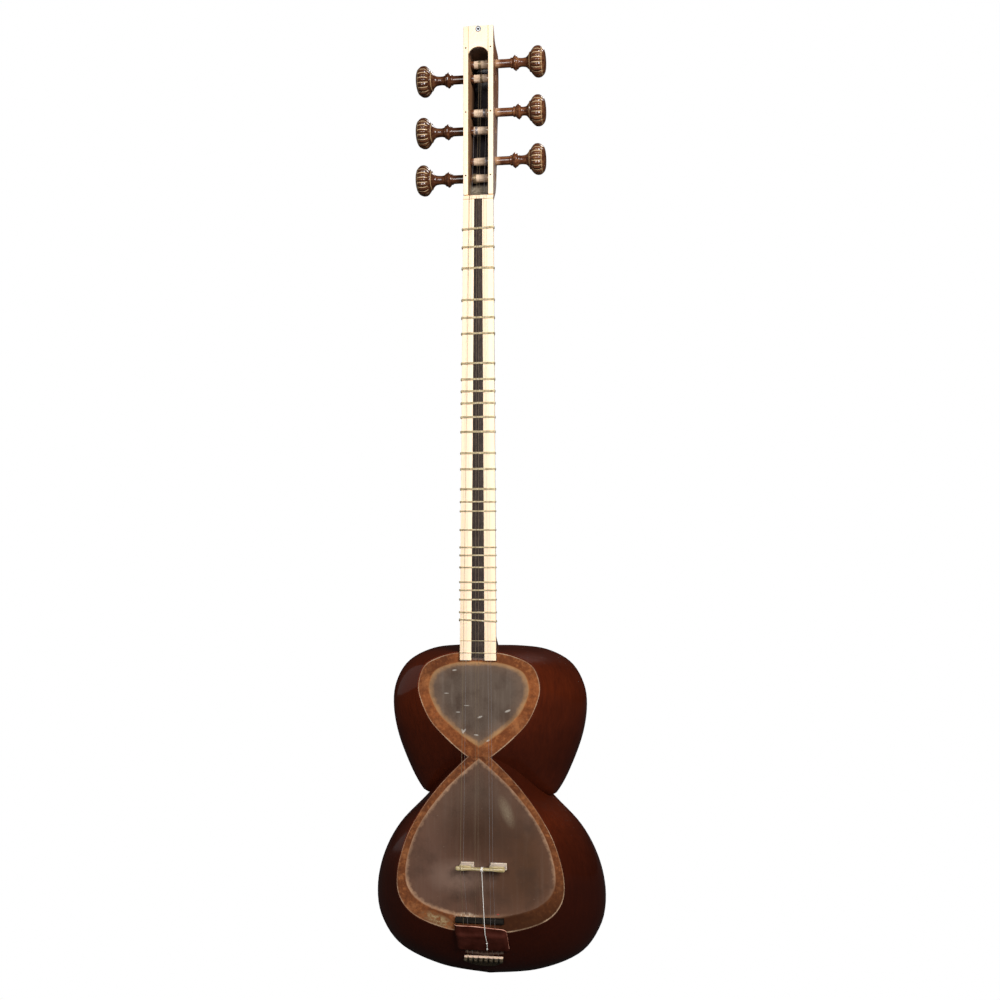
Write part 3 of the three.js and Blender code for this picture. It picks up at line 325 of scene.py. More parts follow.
# These light the tar but don't mirror in its gloss
SOFT_LIGHTS = ["rear_light"]


def length(name, default, description):
    return FloatProperty(
        name=name, description=description, default=default, min=0, unit="LENGTH", precision=4
    )


def colour(name, default, description):
    return FloatVectorProperty(
        name=name, description=description, default=default, subtype="COLOR", min=0, max=1
    )


class TarSizes(bpy.types.PropertyGroup):
    """Sizes of the tar, in metres"""

    widest_depth: length("Widest depth", 0.062, "From the wooden face back to where the bowls are widest")
    bowl_wall: length("Bowl wall", 0.005, "Thickness of the carved bowls")
    rim_thickness: length("Rim thickness", 0.006, "Thickness of the wooden face round the openings")
    large_width: length("Large bowl width", 0.236, "Width of the large bowl")
    large_length: length("Large bowl length", 0.256, "Length of the large bowl's outline")
    large_depth: length("Large bowl depth", 0.152, "Depth of the large bowl")
    large_face_width: length("Large face width", 0.17, "Width of the large wooden face")
    large_face_length: length("Large face length", 0.185, "Length of the large wooden face")
    large_face_bottom: length("Large face bottom", 0.0565, "Height of the large face's lowest place")
    small_width: length("Small bowl width", 0.2, "Width of the small bowl")
    small_length: length("Small bowl length", 0.15, "Length of the small bowl's outline")
    small_top: length("Small bowl top", 0.334, "Height of the small bowl's top")
    small_depth: length("Small bowl depth", 0.128, "Depth of the small bowl")
    small_face_width: length("Small face width", 0.123, "Width of the small wooden face")
    small_face_length: length("Small face length", 0.113, "Length of the small wooden face")
    small_face_top: length("Small face top", 0.3345, "Height of the small face's top")
    skin_thickness: length("Skin thickness", 0.0005, "Thickness of the skins")
    skin_inset: length("Skin inset", 0.001, "From the wooden face's edge to the skin's edge")
    skins_meet: length("Skins meet", 0.231, "Height at which the two skins meet")
    fingerboard: length("Fingerboard", 0.456, "From the neck's lower end to the nut")
    neck_width: length("Neck width", 0.036, "Width of the neck at the body")
    nut_width: length("Nut width", 0.03, "Width of the neck at the nut")
    neck_depth: length("Neck depth", 0.027, "Depth of the neck at the body")
    nut_depth: length("Depth at nut", 0.023, "Depth of the neck at the nut")
    pegbox_length: length("Pegbox length", 0.174, "From the nut to the top of the pegbox")
    pegbox_depth: length("Pegbox depth", 0.046, "Greatest depth of the pegbox")
    slot_width: length("Slot width", 0.02, "Width of the pegbox's open slot")
    gut: length("Gut", 0.00065, "Thickness of the gut of the frets")
    peg_head: length("Peg head", 0.031, "Diameter of a peg's head")
    peg_reach: length("Peg reach", 0.05, "From the pegbox's side to the end of a peg's head")


class TarColours(bpy.types.PropertyGroup):
    """Colours of the tar"""

    # The bowls' lacquer runs between these two colours, set by its grain and by painted light and shade
    lacquer: colour("Lacquer", (0.115, 0.017, 0.004), "Red-brown lacquer of the bowls")
    lacquer_dark: colour("Dark lacquer", (0.013, 0.0026, 0.0016), "Lacquer where it is darkest")
    walnut: colour("Walnut", (0.12, 0.045, 0.018), "Varnished walnut of neck and pegbox")
    bone: colour("Bone", (1.0, 0.76, 0.54), "Bone of the facings")
    ebony: colour("Dark strip", (0.04, 0.027, 0.022), "Dark strip of the fingerboard")
    horn: colour("Horn", (0.4, 0.31, 0.15), "Yellow horn of the bridge")
    membrane: colour("Large membrane", (0.1, 0.053, 0.037), "Skin over the hollow of the large bowl")
    membrane_small: colour("Small membrane", (0.098, 0.07, 0.053), "Skin over the hollow of the small bowl")
    border: colour("Small border", (0.23, 0.07, 0.022), "Skin glued to the wood of the small bowl")
    border_large: colour("Large border", (0.14, 0.045, 0.016), "Skin glued to the wood of the large bowl")
    gut: colour("Gut", (0.43, 0.32, 0.16), "Gut of the frets")
    peg: colour("Pegs", (0.11, 0.035, 0.015), "Varnished wood of the pegs")
    leather: colour("Leather", (0.032, 0.006, 0.003), "Leather of the wrist pad")


# Places


def sizes():
    return bpy.context.scene.tar_sizes


def mix(a, b, share):
    return a + (b - a) * share


def smooth_step(at, low, high):
    share = min(max((at - low) / (high - low), 0), 1)
    return share * share * (3 - 2 * share)


def on_neck(x, y, z):
    """A point of the neck's own frame: y is behind the fingerboard's front, z above its end."""
    turn, lean = math.cos(NECK_TILT), math.sin(NECK_TILT)
    front = -sizes().widest_depth - NECK_PROUD
    return Vector((x, front + y * turn + z * lean, NECK_END_LEVEL - y * lean + z * turn))


def off_neck(point):
    """A point in the neck's own frame."""
    turn, lean = math.cos(NECK_TILT), math.sin(NECK_TILT)
    y = point.y + sizes().widest_depth + NECK_PROUD
    z = point.z - NECK_END_LEVEL
    return Vector((point.x, y * turn - z * lean, y * lean + z * turn))


def spline(points, at):
    """A point on a smooth curve through points, at from 0 to 1."""
    last = len(points) - 1
    place = min(at * last, last - 1e-9)
    i = int(place)
    t = place - i
    p0, p1 = points[max(i - 1, 0)], points[i]
    p2, p3 = points[i + 1], points[min(i + 2, last)]
    v0, v1 = (p2 - p0) / 2, (p3 - p1) / 2
    return (2 * p1 - 2 * p2 + v0 + v1) * t**3 + (3 * p2 - 3 * p1 - 2 * v0 - v1) * t**2 + v0 * t + p1


def spaced(points, steps):
    """Evenly spaced points on a smooth curve through points."""
    fine = [spline(points, i / ARC_SAMPLES) for i in range(ARC_SAMPLES + 1)]
    run = [0.0]
    for a, b in zip(fine, fine[1:]):
        run.append(run[-1] + (b - a).length)
    made, k = [], 0
    for i in range(steps + 1):
        goal = run[-1] * i / steps
        while k < len(fine) - 2 and run[k + 1] < goal:
            k += 1
        made.append(fine[k].lerp(fine[k + 1], (goal - run[k]) / (run[k + 1] - run[k])))
    return made


def smooth_table(rows, at):
    """Looks a value up in a table of places and values, on a smooth line."""
    if at <= rows[0][0]:
        return rows[0][1]
    if at >= rows[-1][0]:
        return rows[-1][1]
    i = next(k for k, row in enumerate(rows) if row[0] > at) - 1
    rise = [(b[1] - a[1]) / (b[0] - a[0]) for a, b in zip(rows, rows[1:])]
    slopes = [rise[0], *((a + b) / 2 for a, b in zip(rise, rise[1:])), rise[-1]]
    (x0, y0), (x1, y1) = rows[i], rows[i + 1]
    step = x1 - x0
    t = (at - x0) / step
    low = y0 * (1 + 2 * t) * (1 - t) ** 2 + step * slopes[i] * t * (1 - t) ** 2
    return low + y1 * t * t * (3 - 2 * t) + step * slopes[i + 1] * t * t * (t - 1)


# Modelling


def activate(piece):
    bpy.ops.object.select_all(action="DESELECT")
    piece.select_set(True)
    bpy.context.view_layer.objects.active = piece


def edit(piece):
    """Opens a piece in edit mode with nothing selected and returns its mesh."""
    activate(piece)
    bpy.ops.object.mode_set(mode="EDIT")
    bpy.ops.mesh.select_all(action="DESELECT")
    return bmesh.from_edit_mesh(piece.data)


def leave_edit():
    bpy.ops.object.mode_set(mode="OBJECT")


def seat_ring(piece, points, picked):
    """Puts a ring of a piece in edit mode, its first or last points, in place and selects it."""
    mesh = bmesh.from_edit_mesh(piece.data)
    mesh.verts.ensure_lookup_table()
    ring = mesh.verts[picked]
    for vert, point in zip(ring, points):
        vert.co = point
        vert.select_set(True)
    mesh.select_flush(True)
    bmesh.update_edit_mesh(piece.data)


def loft(name, rings, capped=True, poles=(False, False)):
    """A skin over rings of equal length, each extruded from the one before, and its two ends."""
    bpy.ops.object.select_all(action="DESELECT")
    count = len(rings[0])
    bpy.ops.mesh.primitive_circle_add(vertices=count, radius=MM)
    piece = bpy.context.object
    piece.name = name
    first, last = slice(0, count), slice(-count, None)
    bpy.ops.object.mode_set(mode="EDIT")
    seat_ring(piece, rings[0], first)
    for ring in rings[1:]:
        bpy.ops.mesh.extrude_edges_move()
        seat_ring(piece, ring, last)
    if capped:
        for end, ring, pole in ((last, rings[-1], poles[1]), (first, rings[0], poles[0])):
            bpy.ops.mesh.select_all(action="DESELECT")
            seat_ring(piece, ring, end)
            if pole:
                bpy.ops.mesh.merge(type="CENTER")
            else:
                bpy.ops.mesh.edge_face_add()
    bpy.ops.mesh.select_all(action="SELECT")
    bpy.ops.mesh.normals_make_consistent(inside=False)
    leave_edit()
    return piece


def apply_modifier(piece, kind, **settings):
    activate(piece)
    added = piece.modifiers.new(kind.title(), kind)
    for key, value in settings.items():
        setattr(added, key, value)
    bpy.ops.object.modifier_apply(modifier=added.name)
    return piece


def join_or_cut(piece, tool, operation):
    """Joins or cuts a piece with a tool, which is used up."""
    apply_modifier(piece, "BOOLEAN", object=tool, operation=operation, solver="EXACT")
    bpy.data.objects.remove(tool)
    return piece


def copy_of(piece, name):
    """A copy with its own mesh."""
    made = piece.copy()
    made.data = piece.data.copy()
    made.name = name
    bpy.context.collection.objects.link(made)
    return made


def box(name, low, high):
    """A box between two corners."""
    bpy.ops.object.select_all(action="DESELECT")
    low, high = Vector(low), Vector(high)
    bpy.ops.mesh.primitive_cube_add(size=1, location=(low + high) / 2, scale=high - low)
    piece = bpy.context.object
    piece.name = name
    settle(piece)
    return piece


def settle(piece):
    """Puts the piece's place into its mesh, so that its object sits at the origin."""
    activate(piece)
    bpy.ops.object.transform_apply(location=True, rotation=True, scale=True)
    return piece


def soften(piece, width, segments=2, angle=35):
    """Rounds the sharp edges and shades the rest smooth."""
    if width:
        apply_modifier(
            piece, "BEVEL", width=width, segments=segments, limit_method="ANGLE",
            angle_limit=math.radians(angle), use_clamp_overlap=True, harden_normals=False,
        )
    activate(piece)
    bpy.ops.object.shade_smooth_by_angle(angle=math.radians(angle))
    return piece


def refined(name, node, width):
    """A merged copy of a solid with softened edges, which stands for it."""
    piece = copy_of(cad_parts[node], name)
    for key in [k for k in piece.keys() if k.startswith("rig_")]:
        del piece[key]
    piece.parent = None
    edit(piece)
    bpy.ops.mesh.select_all(action="SELECT")
    bpy.ops.mesh.remove_doubles(threshold=MM / 100)
    bpy.ops.mesh.dissolve_limited(angle_limit=math.radians(1))
    bpy.ops.mesh.normals_make_consistent(inside=False)
    leave_edit()
    piece.data.materials.clear()
    return soften(piece, width, 3)


def face_outwards(piece):
    edit(piece)
    bpy.ops.mesh.select_all(action="SELECT")
    bpy.ops.mesh.normals_make_consistent(inside=False)
    leave_edit()


def tube(name, points, radius, sides=8):
    """A round cord along points, as a closed mesh."""
    bpy.ops.object.select_all(action="DESELECT")
    line = bpy.data.curves.new(name, "CURVE")
    line.dimensions = "3D"
    line.bevel_depth = radius
    line.bevel_resolution = sides // 2 - 2
    line.use_fill_caps = True
    run = line.splines.new("POLY")
    run.points.add(len(points) - 1)
    for at, point in zip(run.points, points):
        at.co = (*point, 1)
    piece = bpy.data.objects.new(name, line)
    bpy.context.collection.objects.link(piece)
    activate(piece)
    bpy.ops.object.convert(target="MESH")
    piece = bpy.context.object
    edit(piece)
    bpy.ops.mesh.select_all(action="SELECT")
    bpy.ops.mesh.remove_doubles(threshold=radius / 100)
    bpy.ops.mesh.normals_make_consistent(inside=False)
    leave_edit()
    activate(piece)
    bpy.ops.object.shade_smooth_by_angle(angle=math.radians(60))
    return piece


def mark(piece, name, value_of):
    """Stores a value at every point of a piece for its material to read."""
    marks = piece.data.attributes.new(name, "FLOAT", "POINT")
    for vert, at in zip(piece.data.vertices, marks.data):
        at.value = value_of(vert.co)


def joined(name, pieces):
    """Several pieces joined into one mesh."""
    bpy.ops.object.select_all(action="DESELECT")
    for piece in pieces:
        piece.select_set(True)
    bpy.context.view_layer.objects.active = pieces[0]
    bpy.ops.object.join()
    pieces[0].name = name
    return pieces[0]


def dress(piece, material, body="frame", replaces=()):
    """Gives a piece its finish and its body, and hides the solids it stands for."""
    piece.data.materials.clear()
    piece.data.materials.append(material)
    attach(piece, body)
    if replaces:
        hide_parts(*replaces)
    return piece


def finish_node(node, material):
    """Gives a solid that stays its material."""
    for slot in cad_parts[node].material_slots:
        slot.link = "OBJECT"
        slot.material = material


# Materials


def shade(tone, share):
    """A tone made darker or brighter."""
    return tuple(min(part * share, 1) for part in tone)


def opaque(tone):
    """A colour, or a grey given as one number, with its alpha."""
    return (*tone[:3], 1) if hasattr(tone, "__len__") else (tone, tone, tone, 1)


class Recipe:
    """A material with its nodes, made round one shader."""

    def __init__(self, name, **sockets):
        self.material = bpy.data.materials.new(name)
        self.material.use_nodes = True
        self.tree = self.material.node_tree
        self.shader = next(n for n in self.tree.nodes if n.type == "BSDF_PRINCIPLED")
        for key, value in sockets.items():
            self.shader.inputs[key.replace("_", " ")].default_value = value
        self.place = self.node("ShaderNodeTexCoord").outputs["Object"]

    def node(self, kind, inputs=None, **settings):
        made = self.tree.nodes.new(kind)
        for key, value in settings.items():
            setattr(made, key, value)
        for key, value in (inputs or {}).items():
            self.feed(made.inputs[key], value)
        return made

    def feed(self, socket, value):
        if isinstance(value, bpy.types.NodeSocket):
            self.tree.links.new(value, socket)
        else:
            socket.default_value = value

    def set(self, key, value):
        self.feed(self.shader.inputs[key], value)

    def stretched(self, scale, turn=(0, 0, 0)):
        inputs = {"Vector": self.place, "Scale": scale, "Rotation": turn}
        return self.node("ShaderNodeMapping", inputs).outputs["Vector"]

    def noise(self, scale, vector=None, detail=4, roughness=0.55, distortion=0):
        inputs = {
            "Vector": vector or self.place, "Scale": scale, "Detail": detail,
            "Roughness": roughness, "Distortion": distortion,
        }
        return self.node("ShaderNodeTexNoise", inputs).outputs["Fac"]

    def ramp(self, factor, *stops):
        """A colour ramp with its stops given as place and grey or colour."""
        made = self.node("ShaderNodeValToRGB", {"Fac": factor})
        ramp = made.color_ramp
        while len(ramp.elements) < len(stops):
            ramp.elements.new(0.5)
        for element, (at, tone) in zip(ramp.elements, stops):
            element.position = at
            element.color = opaque(tone)
        return made.outputs["Color"]

    def blend(self, factor, a, b):
        """Tone a where the factor is 0 and tone b where it is 1."""
        made = self.node("ShaderNodeMix", data_type="RGBA")
        self.feed(made.inputs[0], factor)
        for socket, tone in ((made.inputs[6], a), (made.inputs[7], b)):
            self.feed(socket, tone if isinstance(tone, bpy.types.NodeSocket) else opaque(tone))
        return made.outputs[2]

    def maths(self, operation, a, b=0.0):
        made = self.node("ShaderNodeMath", operation=operation)
        self.feed(made.inputs[0], a)
        self.feed(made.inputs[1], b)
        return made.outputs[0]

    def times(self, a, b):
        return self.maths("MULTIPLY", a, b)

    def off(self, value, place):
        """How far a value is from a place."""
        return self.maths("ABSOLUTE", self.maths("SUBTRACT", value, place))

    def axis(self, name):
        return self.node("ShaderNodeSeparateXYZ", {"Vector": self.place}).outputs[name]

    def ranged(self, value, low, high, out_low=0.0, out_high=1.0):
        inputs = {
            "Value": value, "From Min": low, "From Max": high, "To Min": out_low, "To Max": out_high,
        }
        return self.node("ShaderNodeMapRange", inputs).outputs["Result"]

    def spread(self, noise, low, high):
        """The range in which most of a noise lies, spread from low to high."""
        return self.ranged(noise, 0.3, 0.7, low, high)

    def laid(self, tone, coat, pattern, low, high, strength=1.0):
        """A tone with a coat of another laid over it where a pattern rises from low to high."""
        return self.blend(self.ranged(pattern, low, high, 0, strength), tone, coat)

    def spot(self, x, z, wide, tall, turn=0.0, soft=0.4):
        """A soft oval on the playing face: 1 in its middle and 0 from its edge on."""
        inputs = {
            "Vector": self.place, "Location": (x, 0, z), "Rotation": (0, turn, 0),
            "Scale": (wide, 10, tall),
        }
        oval = self.node("ShaderNodeMapping", inputs, vector_type="TEXTURE").outputs["Vector"]
        away = self.node("ShaderNodeVectorMath", {0: oval}, operation="LENGTH").outputs["Value"]
        return self.ranged(away, 1 - soft, 1, 1, 0)

    def attribute(self, name):
        return self.node("ShaderNodeAttribute", attribute_name=name).outputs["Fac"]

    def bump(self, height, distance, strength=1.0):
        inputs = {"Height": height, "Distance": distance, "Strength": strength}
        self.set("Normal", self.node("ShaderNodeBump", inputs).outputs["Normal"])


def lacquer_material(colours):
    """Lacquer over its grain with painted light and shade: lighter on the bellies and the left side, darker
    on the right side, and nearly black at the bottom and the waist.
    """
    made = Recipe("lacquered_mulberry", Coat_Weight=0.7, Coat_Roughness=0.1, Specular_IOR_Level=0.05)
    grain = made.noise(1, made.stretched((330, 330, 15)), detail=7, roughness=0.62, distortion=0.5)
    fine = made.noise(1, made.stretched((1100, 1100, 60)), detail=4, roughness=0.6)
    cloud = made.noise(13, detail=4)
    painted_light = made.ramp(made.ranged(made.axis("Z"), *PAINTED_LIGHT_LEVELS), *PAINTED_LIGHT_SHARES)
    streak = made.maths("ADD", made.spread(grain, 0.65, 1.1), made.spread(fine, -0.08, 0.08))
    # Painted light on the bowls' left side and painted shade on their right
    side = made.ranged(made.axis("X"), *PAINTED_LIGHT_SIDES, 1.45, 0.52)
    lit = made.times(painted_light, made.times(streak, made.spread(cloud, 0.6, 1.2)))
    made.set("Base Color", made.blend(made.times(lit, side), colours.lacquer_dark, colours.lacquer))
    made.set("Roughness", made.spread(cloud, 0.3, 0.5))
    made.bump(grain, 0.01 * MM, 0.1)
    return made.material


def walnut_material(colours):
    made = Recipe("walnut", Coat_Weight=0.5, Coat_Roughness=0.12)
    grain = made.noise(1, made.stretched((300, 300, 22)), detail=7, roughness=0.65, distortion=0.8)
    cloud = made.noise(30, detail=3)
    dark, bright = shade(colours.walnut, 0.28), shade(colours.walnut, 1.9)
    lines = made.ramp(grain, (0.3, dark), (0.52, colours.walnut), (0.75, bright))
    made.set("Base Color", made.laid(lines, dark, cloud, 0.35, 0.7, 0.6))
    made.set("Roughness", made.spread(grain, 0.22, 0.42))
    made.bump(grain, 0.05 * MM, 0.5)
    return made.material


def bone_material(colours, joint=None, dull_below=None):
    """Bone, with a brown line at both sides if joint gives its place, and dull below a level."""
    made = Recipe("bone", Coat_Weight=0.1, Coat_Roughness=0.2, Subsurface_Weight=0.1, Specular_IOR_Level=0.2)
    made.set("Subsurface Radius", FLESH_DEPTHS)
    veins = made.noise(1, made.stretched((900, 900, 45)), detail=6, roughness=0.7)
    cloud = made.noise(60, detail=4)
    tone = made.laid(colours.bone, (0.95, 0.73, 0.5), cloud, 0.3, 0.75, 0.5)
    tone = made.laid(tone, (0.74, 0.6, 0.4), veins, 0.58, 0.8, 0.3)
    if joint:
        away = made.off(made.maths("ABSOLUTE", made.axis("X")), joint)
        line = made.ranged(away, JOINT_LINE / 2, JOINT_LINE * 1.5, 0.9, 0)
        tone = made.blend(line, tone, (0.3, 0.18, 0.08))
    if dull_below:
        # Nearly black and mottled below the level, and dulled towards a pinkish brown above it
        dark_mottle = made.noise(700, detail=4, roughness=0.7)
        dull = made.ramp(dark_mottle, (0.3, (0.012, 0.009, 0.005)), (0.7, (0.08, 0.06, 0.035)))
        level = made.ranged(made.axis("Z"), dull_below - COMB_DULL_FADE, dull_below + COMB_DULL_FADE)
        tone = made.blend(level, dull, made.blend(0.6, tone, (0.46, 0.3, 0.24)))
    made.set("Base Color", tone)
    made.set("Roughness", made.spread(veins, 0.28, 0.45))
    made.bump(veins, 0.03 * MM, 0.5)
    return made.material


def dark_strip_material(colours):
    made = Recipe("dark_strip_wood", Roughness=0.6, Specular_IOR_Level=0.15)
    grain = made.noise(1, made.stretched((1400, 1400, 180)), detail=8, roughness=0.75)
    specks = made.noise(2600, detail=2)
    dark, bright = shade(colours.ebony, 0.35), (0.14, 0.11, 0.09)
    wood = made.ramp(grain, (0.35, dark), (0.55, colours.ebony), (0.8, bright))
    made.set("Base Color", made.laid(wood, (0.22, 0.19, 0.16), specks, 0.6, 0.72, 0.4))
    made.bump(grain, 0.05 * MM, 0.6)
    return made.material


def pegbox_material():
    """Reads wall, 1 on the slot's walls and floor, and deep, the painted shade that darkens them."""
    made = Recipe("pegbox_wood", Coat_Weight=0.2, Coat_Roughness=0.15, Specular_IOR_Level=0.2)
    grain = made.noise(1, made.stretched((320, 320, 22)), detail=7, roughness=0.65, distortion=0.8)
    rough = made.noise(420, detail=5, roughness=0.7)
    level, deep = made.axis("Z"), made.attribute("deep")
    brown, bright = (0.19, 0.075, 0.036), (0.32, 0.17, 0.1)
    outer = made.ramp(grain, (0.3, (0.05, 0.018, 0.009)), (0.52, brown), (0.75, bright))
    # Painted reflection: a pale grey sheen on the pegbox's outside
    grey = made.times(made.ranged(level, *PAINTED_SHEEN_TOP, 0.8, 0), made.ranged(level, *PAINTED_SHEEN_FOOT))
    outer = made.blend(grey, outer, (0.36, 0.28, 0.24))
    wall = made.ramp(grain, (0.3, (0.2, 0.09, 0.04)), (0.7, (0.42, 0.22, 0.11)))
    # Painted shade: the slot darkens to near black where deep is high
    wall = made.blend(deep, wall, (0.012, 0.007, 0.008))
    # On the ramp at the slot's foot, a rough grey-brown tone takes the place of the painted shade
    foot = made.ranged(level, *RAMP_FOOT, 1, 0)
    ramp_tone = made.ramp(rough, (0.35, (0.12, 0.09, 0.06)), (0.65, (0.32, 0.27, 0.2)))
    wall = made.blend(made.times(foot, deep), wall, ramp_tone)
    made.set("Base Color", made.laid(outer, wall, made.attribute("wall"), 0.9, 0.98))
    made.set("Roughness", made.spread(grain, 0.3, 0.5))
    made.bump(grain, 0.05 * MM, 0.5)
    return made.material


def black_material():
    made = Recipe("black_wood", Roughness=0.8, Specular_IOR_Level=0.03)
    grain = made.noise(1, made.stretched((60, 700, 700)), detail=6)
    made.set("Base Color", made.ramp(grain, (0.3, (0.006, 0.005, 0.004)), (0.7, (0.02, 0.016, 0.013))))
    made.bump(grain, 0.04 * MM, 0.5)
    return made.material


def horn_material(colours):
    """Olive-yellow beam over pale pinkish legs."""
    made = Recipe("yellow_horn", Coat_Weight=0.2, Subsurface_Weight=0.1)
    made.set("Subsurface Radius", FLESH_DEPTHS)
    streaks = made.noise(1, made.stretched((90, 700, 700)), detail=5, roughness=0.6)
    dark, bright = (0.2, 0.15, 0.06), (0.62, 0.52, 0.32)
    beam = made.ramp(streaks, (0.3, dark), (0.5, colours.horn), (0.75, bright))
    legs = made.ramp(streaks, (0.3, (0.5, 0.38, 0.28)), (0.65, (0.78, 0.66, 0.54)))
    made.set("Base Color", made.laid(beam, legs, made.axis("Y"), *BEAM_BACK))
    made.set("Roughness", made.spread(streaks, 0.25, 0.4))
    made.bump(streaks, 0.04 * MM, 0.5)
    return made.material


def iron_material():
    made = Recipe("iron", Metallic=0.3, Roughness=0.6, Specular_IOR_Level=0.2)
    rust = made.noise(1500, detail=3)
    made.set("Base Color", made.ramp(rust, (0.3, (0.03, 0.025, 0.025)), (0.7, (0.11, 0.07, 0.05))))
    return made.material


def screw_material():
    """Bare steel with a dark ring of painted shadow on the head's raised rim and a socket painted black as
    shade. Reads socket, the share of the head's radius.
    """
    made = Recipe("screw_steel", Metallic=0.6, Roughness=0.4)
    # Painted shade: black in the socket, and a dark painted shadow on the head's raised rim
    tone = made.ramp(
        made.attribute("socket"), (0.3, (0.01, 0.01, 0.015)), (0.42, (0.02, 0.02, 0.03)),
        (0.5, (0.6, 0.62, 0.65)), (0.66, (0.7, 0.7, 0.7)), (0.76, (0.12, 0.15, 0.2)),
        (0.95, (0.2, 0.23, 0.28)),
    )
    made.set("Base Color", tone)
    return made.material


class SkinRecipe(Recipe):
    """Reads zone: 0 at the skin's edge, 1 where it leaves the wood, 2 at its middle."""

    def __init__(self, colours):
        super().__init__("stretched_skin", Specular_IOR_Level=0.05)
        self.colours = colours
        self.across, self.level = self.axis("X"), self.axis("Z")
        self.upper = self.ranged(self.level, *SKINS_PART)
        self.ragged = self.noise(260, detail=6, roughness=0.72)
        self.cloud = self.noise(42, detail=5, roughness=0.62)
        self.streaks = self.noise(1, self.stretched((210, 210, 14)), detail=5, roughness=0.6)
        self.pores = self.noise(1500, detail=4, roughness=0.7)
        turned = self.stretched((900, 900, 500), (0.3, 0.8, 0.2))
        self.hairs = self.noise(1, turned, detail=5, roughness=0.8)
        self.zone = self.maths("ADD", self.attribute("zone"), self.spread(self.ragged, -0.025, 0.025))
        self.half_zone = self.times(self.zone, 0.5)

    def large_membrane(self):
        """The large skin over the hollow, clouded, and darker to its right and its tip."""
        tone = self.laid(self.colours.membrane, SKIN_TONES["right side"], self.across, *MEMBRANE_SIDES)
        tone = self.laid(tone, SKIN_TONES["upper part"], self.level, *MEMBRANE_UPPER, 0.8)
        dark = self.times(self.spot(*DARK_CLOUD, soft=0.9), 0.8)
        tone = self.blend(dark, tone, SKIN_TONES["dark cloud"])
        tone = self.blend(self.spot(*PALE_CLOUD, soft=0.9), tone, SKIN_TONES["pale cloud"])
        return self.laid(tone, SKIN_TONES["tip"], self.level, *MEMBRANE_TIP, 0.45)

    def membrane(self):
        """Both skins over their hollows, with a pale halo at the wood, streaks and scratches."""
        tone = self.blend(self.upper, self.large_membrane(), self.colours.membrane_small)
        halo = self.ramp(self.half_zone, (0.5, 0.6), (0.56, 0.35), (0.66, 0))
        halo_tone = self.blend(self.upper, SKIN_TONES["halo"], SKIN_TONES["small halo"])
        tone = self.blend(halo, tone, halo_tone)
        lines = self.ranged(self.streaks, 0.5, 0.72, 0, 0.22)
        tone = self.blend(self.times(lines, self.maths("ADD", self.upper, 0.35)), tone, SKIN_TONES["streak"])
        turned = self.stretched((260, 500, 1500), (0.2, 0.5, 0.1))
        scratches = self.noise(1, turned, detail=5, roughness=0.75)
        tone = self.laid(tone, SKIN_TONES["scratch"], scratches, 0.66, 0.71, 0.45)
        tone = self.laid(tone, SKIN_TONES["stain"], self.cloud, 0.48, 0.72, 0.6)
        tone = self.laid(tone, SKIN_TONES["pore"], self.pores, 0.62, 0.75, 0.25)
        speckle = self.times(self.spot(*BEIGE_PATCH, soft=0.8), self.ranged(self.pores, 0.42, 0.62))
        return self.blend(self.times(speckle, 0.8), tone, SKIN_TONES["beige"])

    def border(self):
        """Both skins where they are glued to the wood, worn at the lower left and dark at the right."""
        tone = self.blend(self.upper, self.colours.border_large, self.colours.border)
        warm = self.times(self.ranged(self.across, *WARM_SIDE), self.ranged(self.level, *WARM_LEVELS))
        tone = self.blend(self.times(warm, 0.5), tone, BORDER_TONES["warm"])
        broad = self.noise(16, detail=3)
        tone = self.laid(tone, BORDER_TONES["dark"], broad, 0.42, 0.6, 0.75)
        tone = self.laid(tone, BORDER_TONES["orange"], self.cloud, 0.52, 0.68, 0.6)
        tone = self.laid(tone, BORDER_TONES["hair"], self.hairs, 0.66, 0.72, 0.7)
        tone = self.laid(tone, BORDER_TONES["stain"], self.ragged, 0.5, 0.64, 0.5)
        tone = self.laid(tone, BORDER_TONES["rubbed"], self.ragged, 0.46, 0.36, 0.4)
        tone = self.laid(tone, BORDER_TONES["pore"], self.pores, 0.6, 0.7, 0.5)
        worn = self.times(self.spot(*WORN_PATCH, soft=0.7), self.ranged(self.ragged, 0.42, 0.6))
        tone = self.blend(self.times(worn, 0.8), tone, BORDER_TONES["worn"])
        low = self.ranged(self.level, *DUSKY_LEVELS, 0.85, 0)
        dusky = self.times(low, self.ranged(self.across, *DUSKY_SIDE))
        return self.blend(dusky, tone, BORDER_TONES["dusky"])

    def rimmed(self, tone):
        """A tone with the pale rim where the skin leaves the wood and the pale edge where it ends."""
        narrow = self.ramp(self.half_zone, (0.435, 0), (0.475, 1), (0.5, 0.85), (0.52, 0))
        wide = self.ramp(self.half_zone, (0.43, 0), (0.475, 0.9), (0.515, 0.8), (0.55, 0))
        rim = self.times(self.blend(self.upper, narrow, wide), self.ranged(self.cloud, 0.3, 0.62, 0.95, 0.35))
        right = self.ranged(self.across, *FADED_SIDE, 0, 0.95)
        faded = self.times(right, self.ranged(self.level, *FADED_LEVELS))
        rim = self.times(rim, self.maths("SUBTRACT", 1.0, faded))
        tone = self.blend(rim, tone, self.blend(self.upper, BORDER_TONES["rim"], BORDER_TONES["small rim"]))
        outmost = self.ranged(self.zone, 0.02, 0.09, 1, 0)
        edge = self.times(outmost, self.ranged(self.cloud, 0.35, 0.6, 0.9, 0.2))
        return self.blend(edge, tone, BORDER_TONES["edge"])

    def marked(self, tone):
        """A tone with the painted reflections of the strings above the saddle and the white and red marks."""
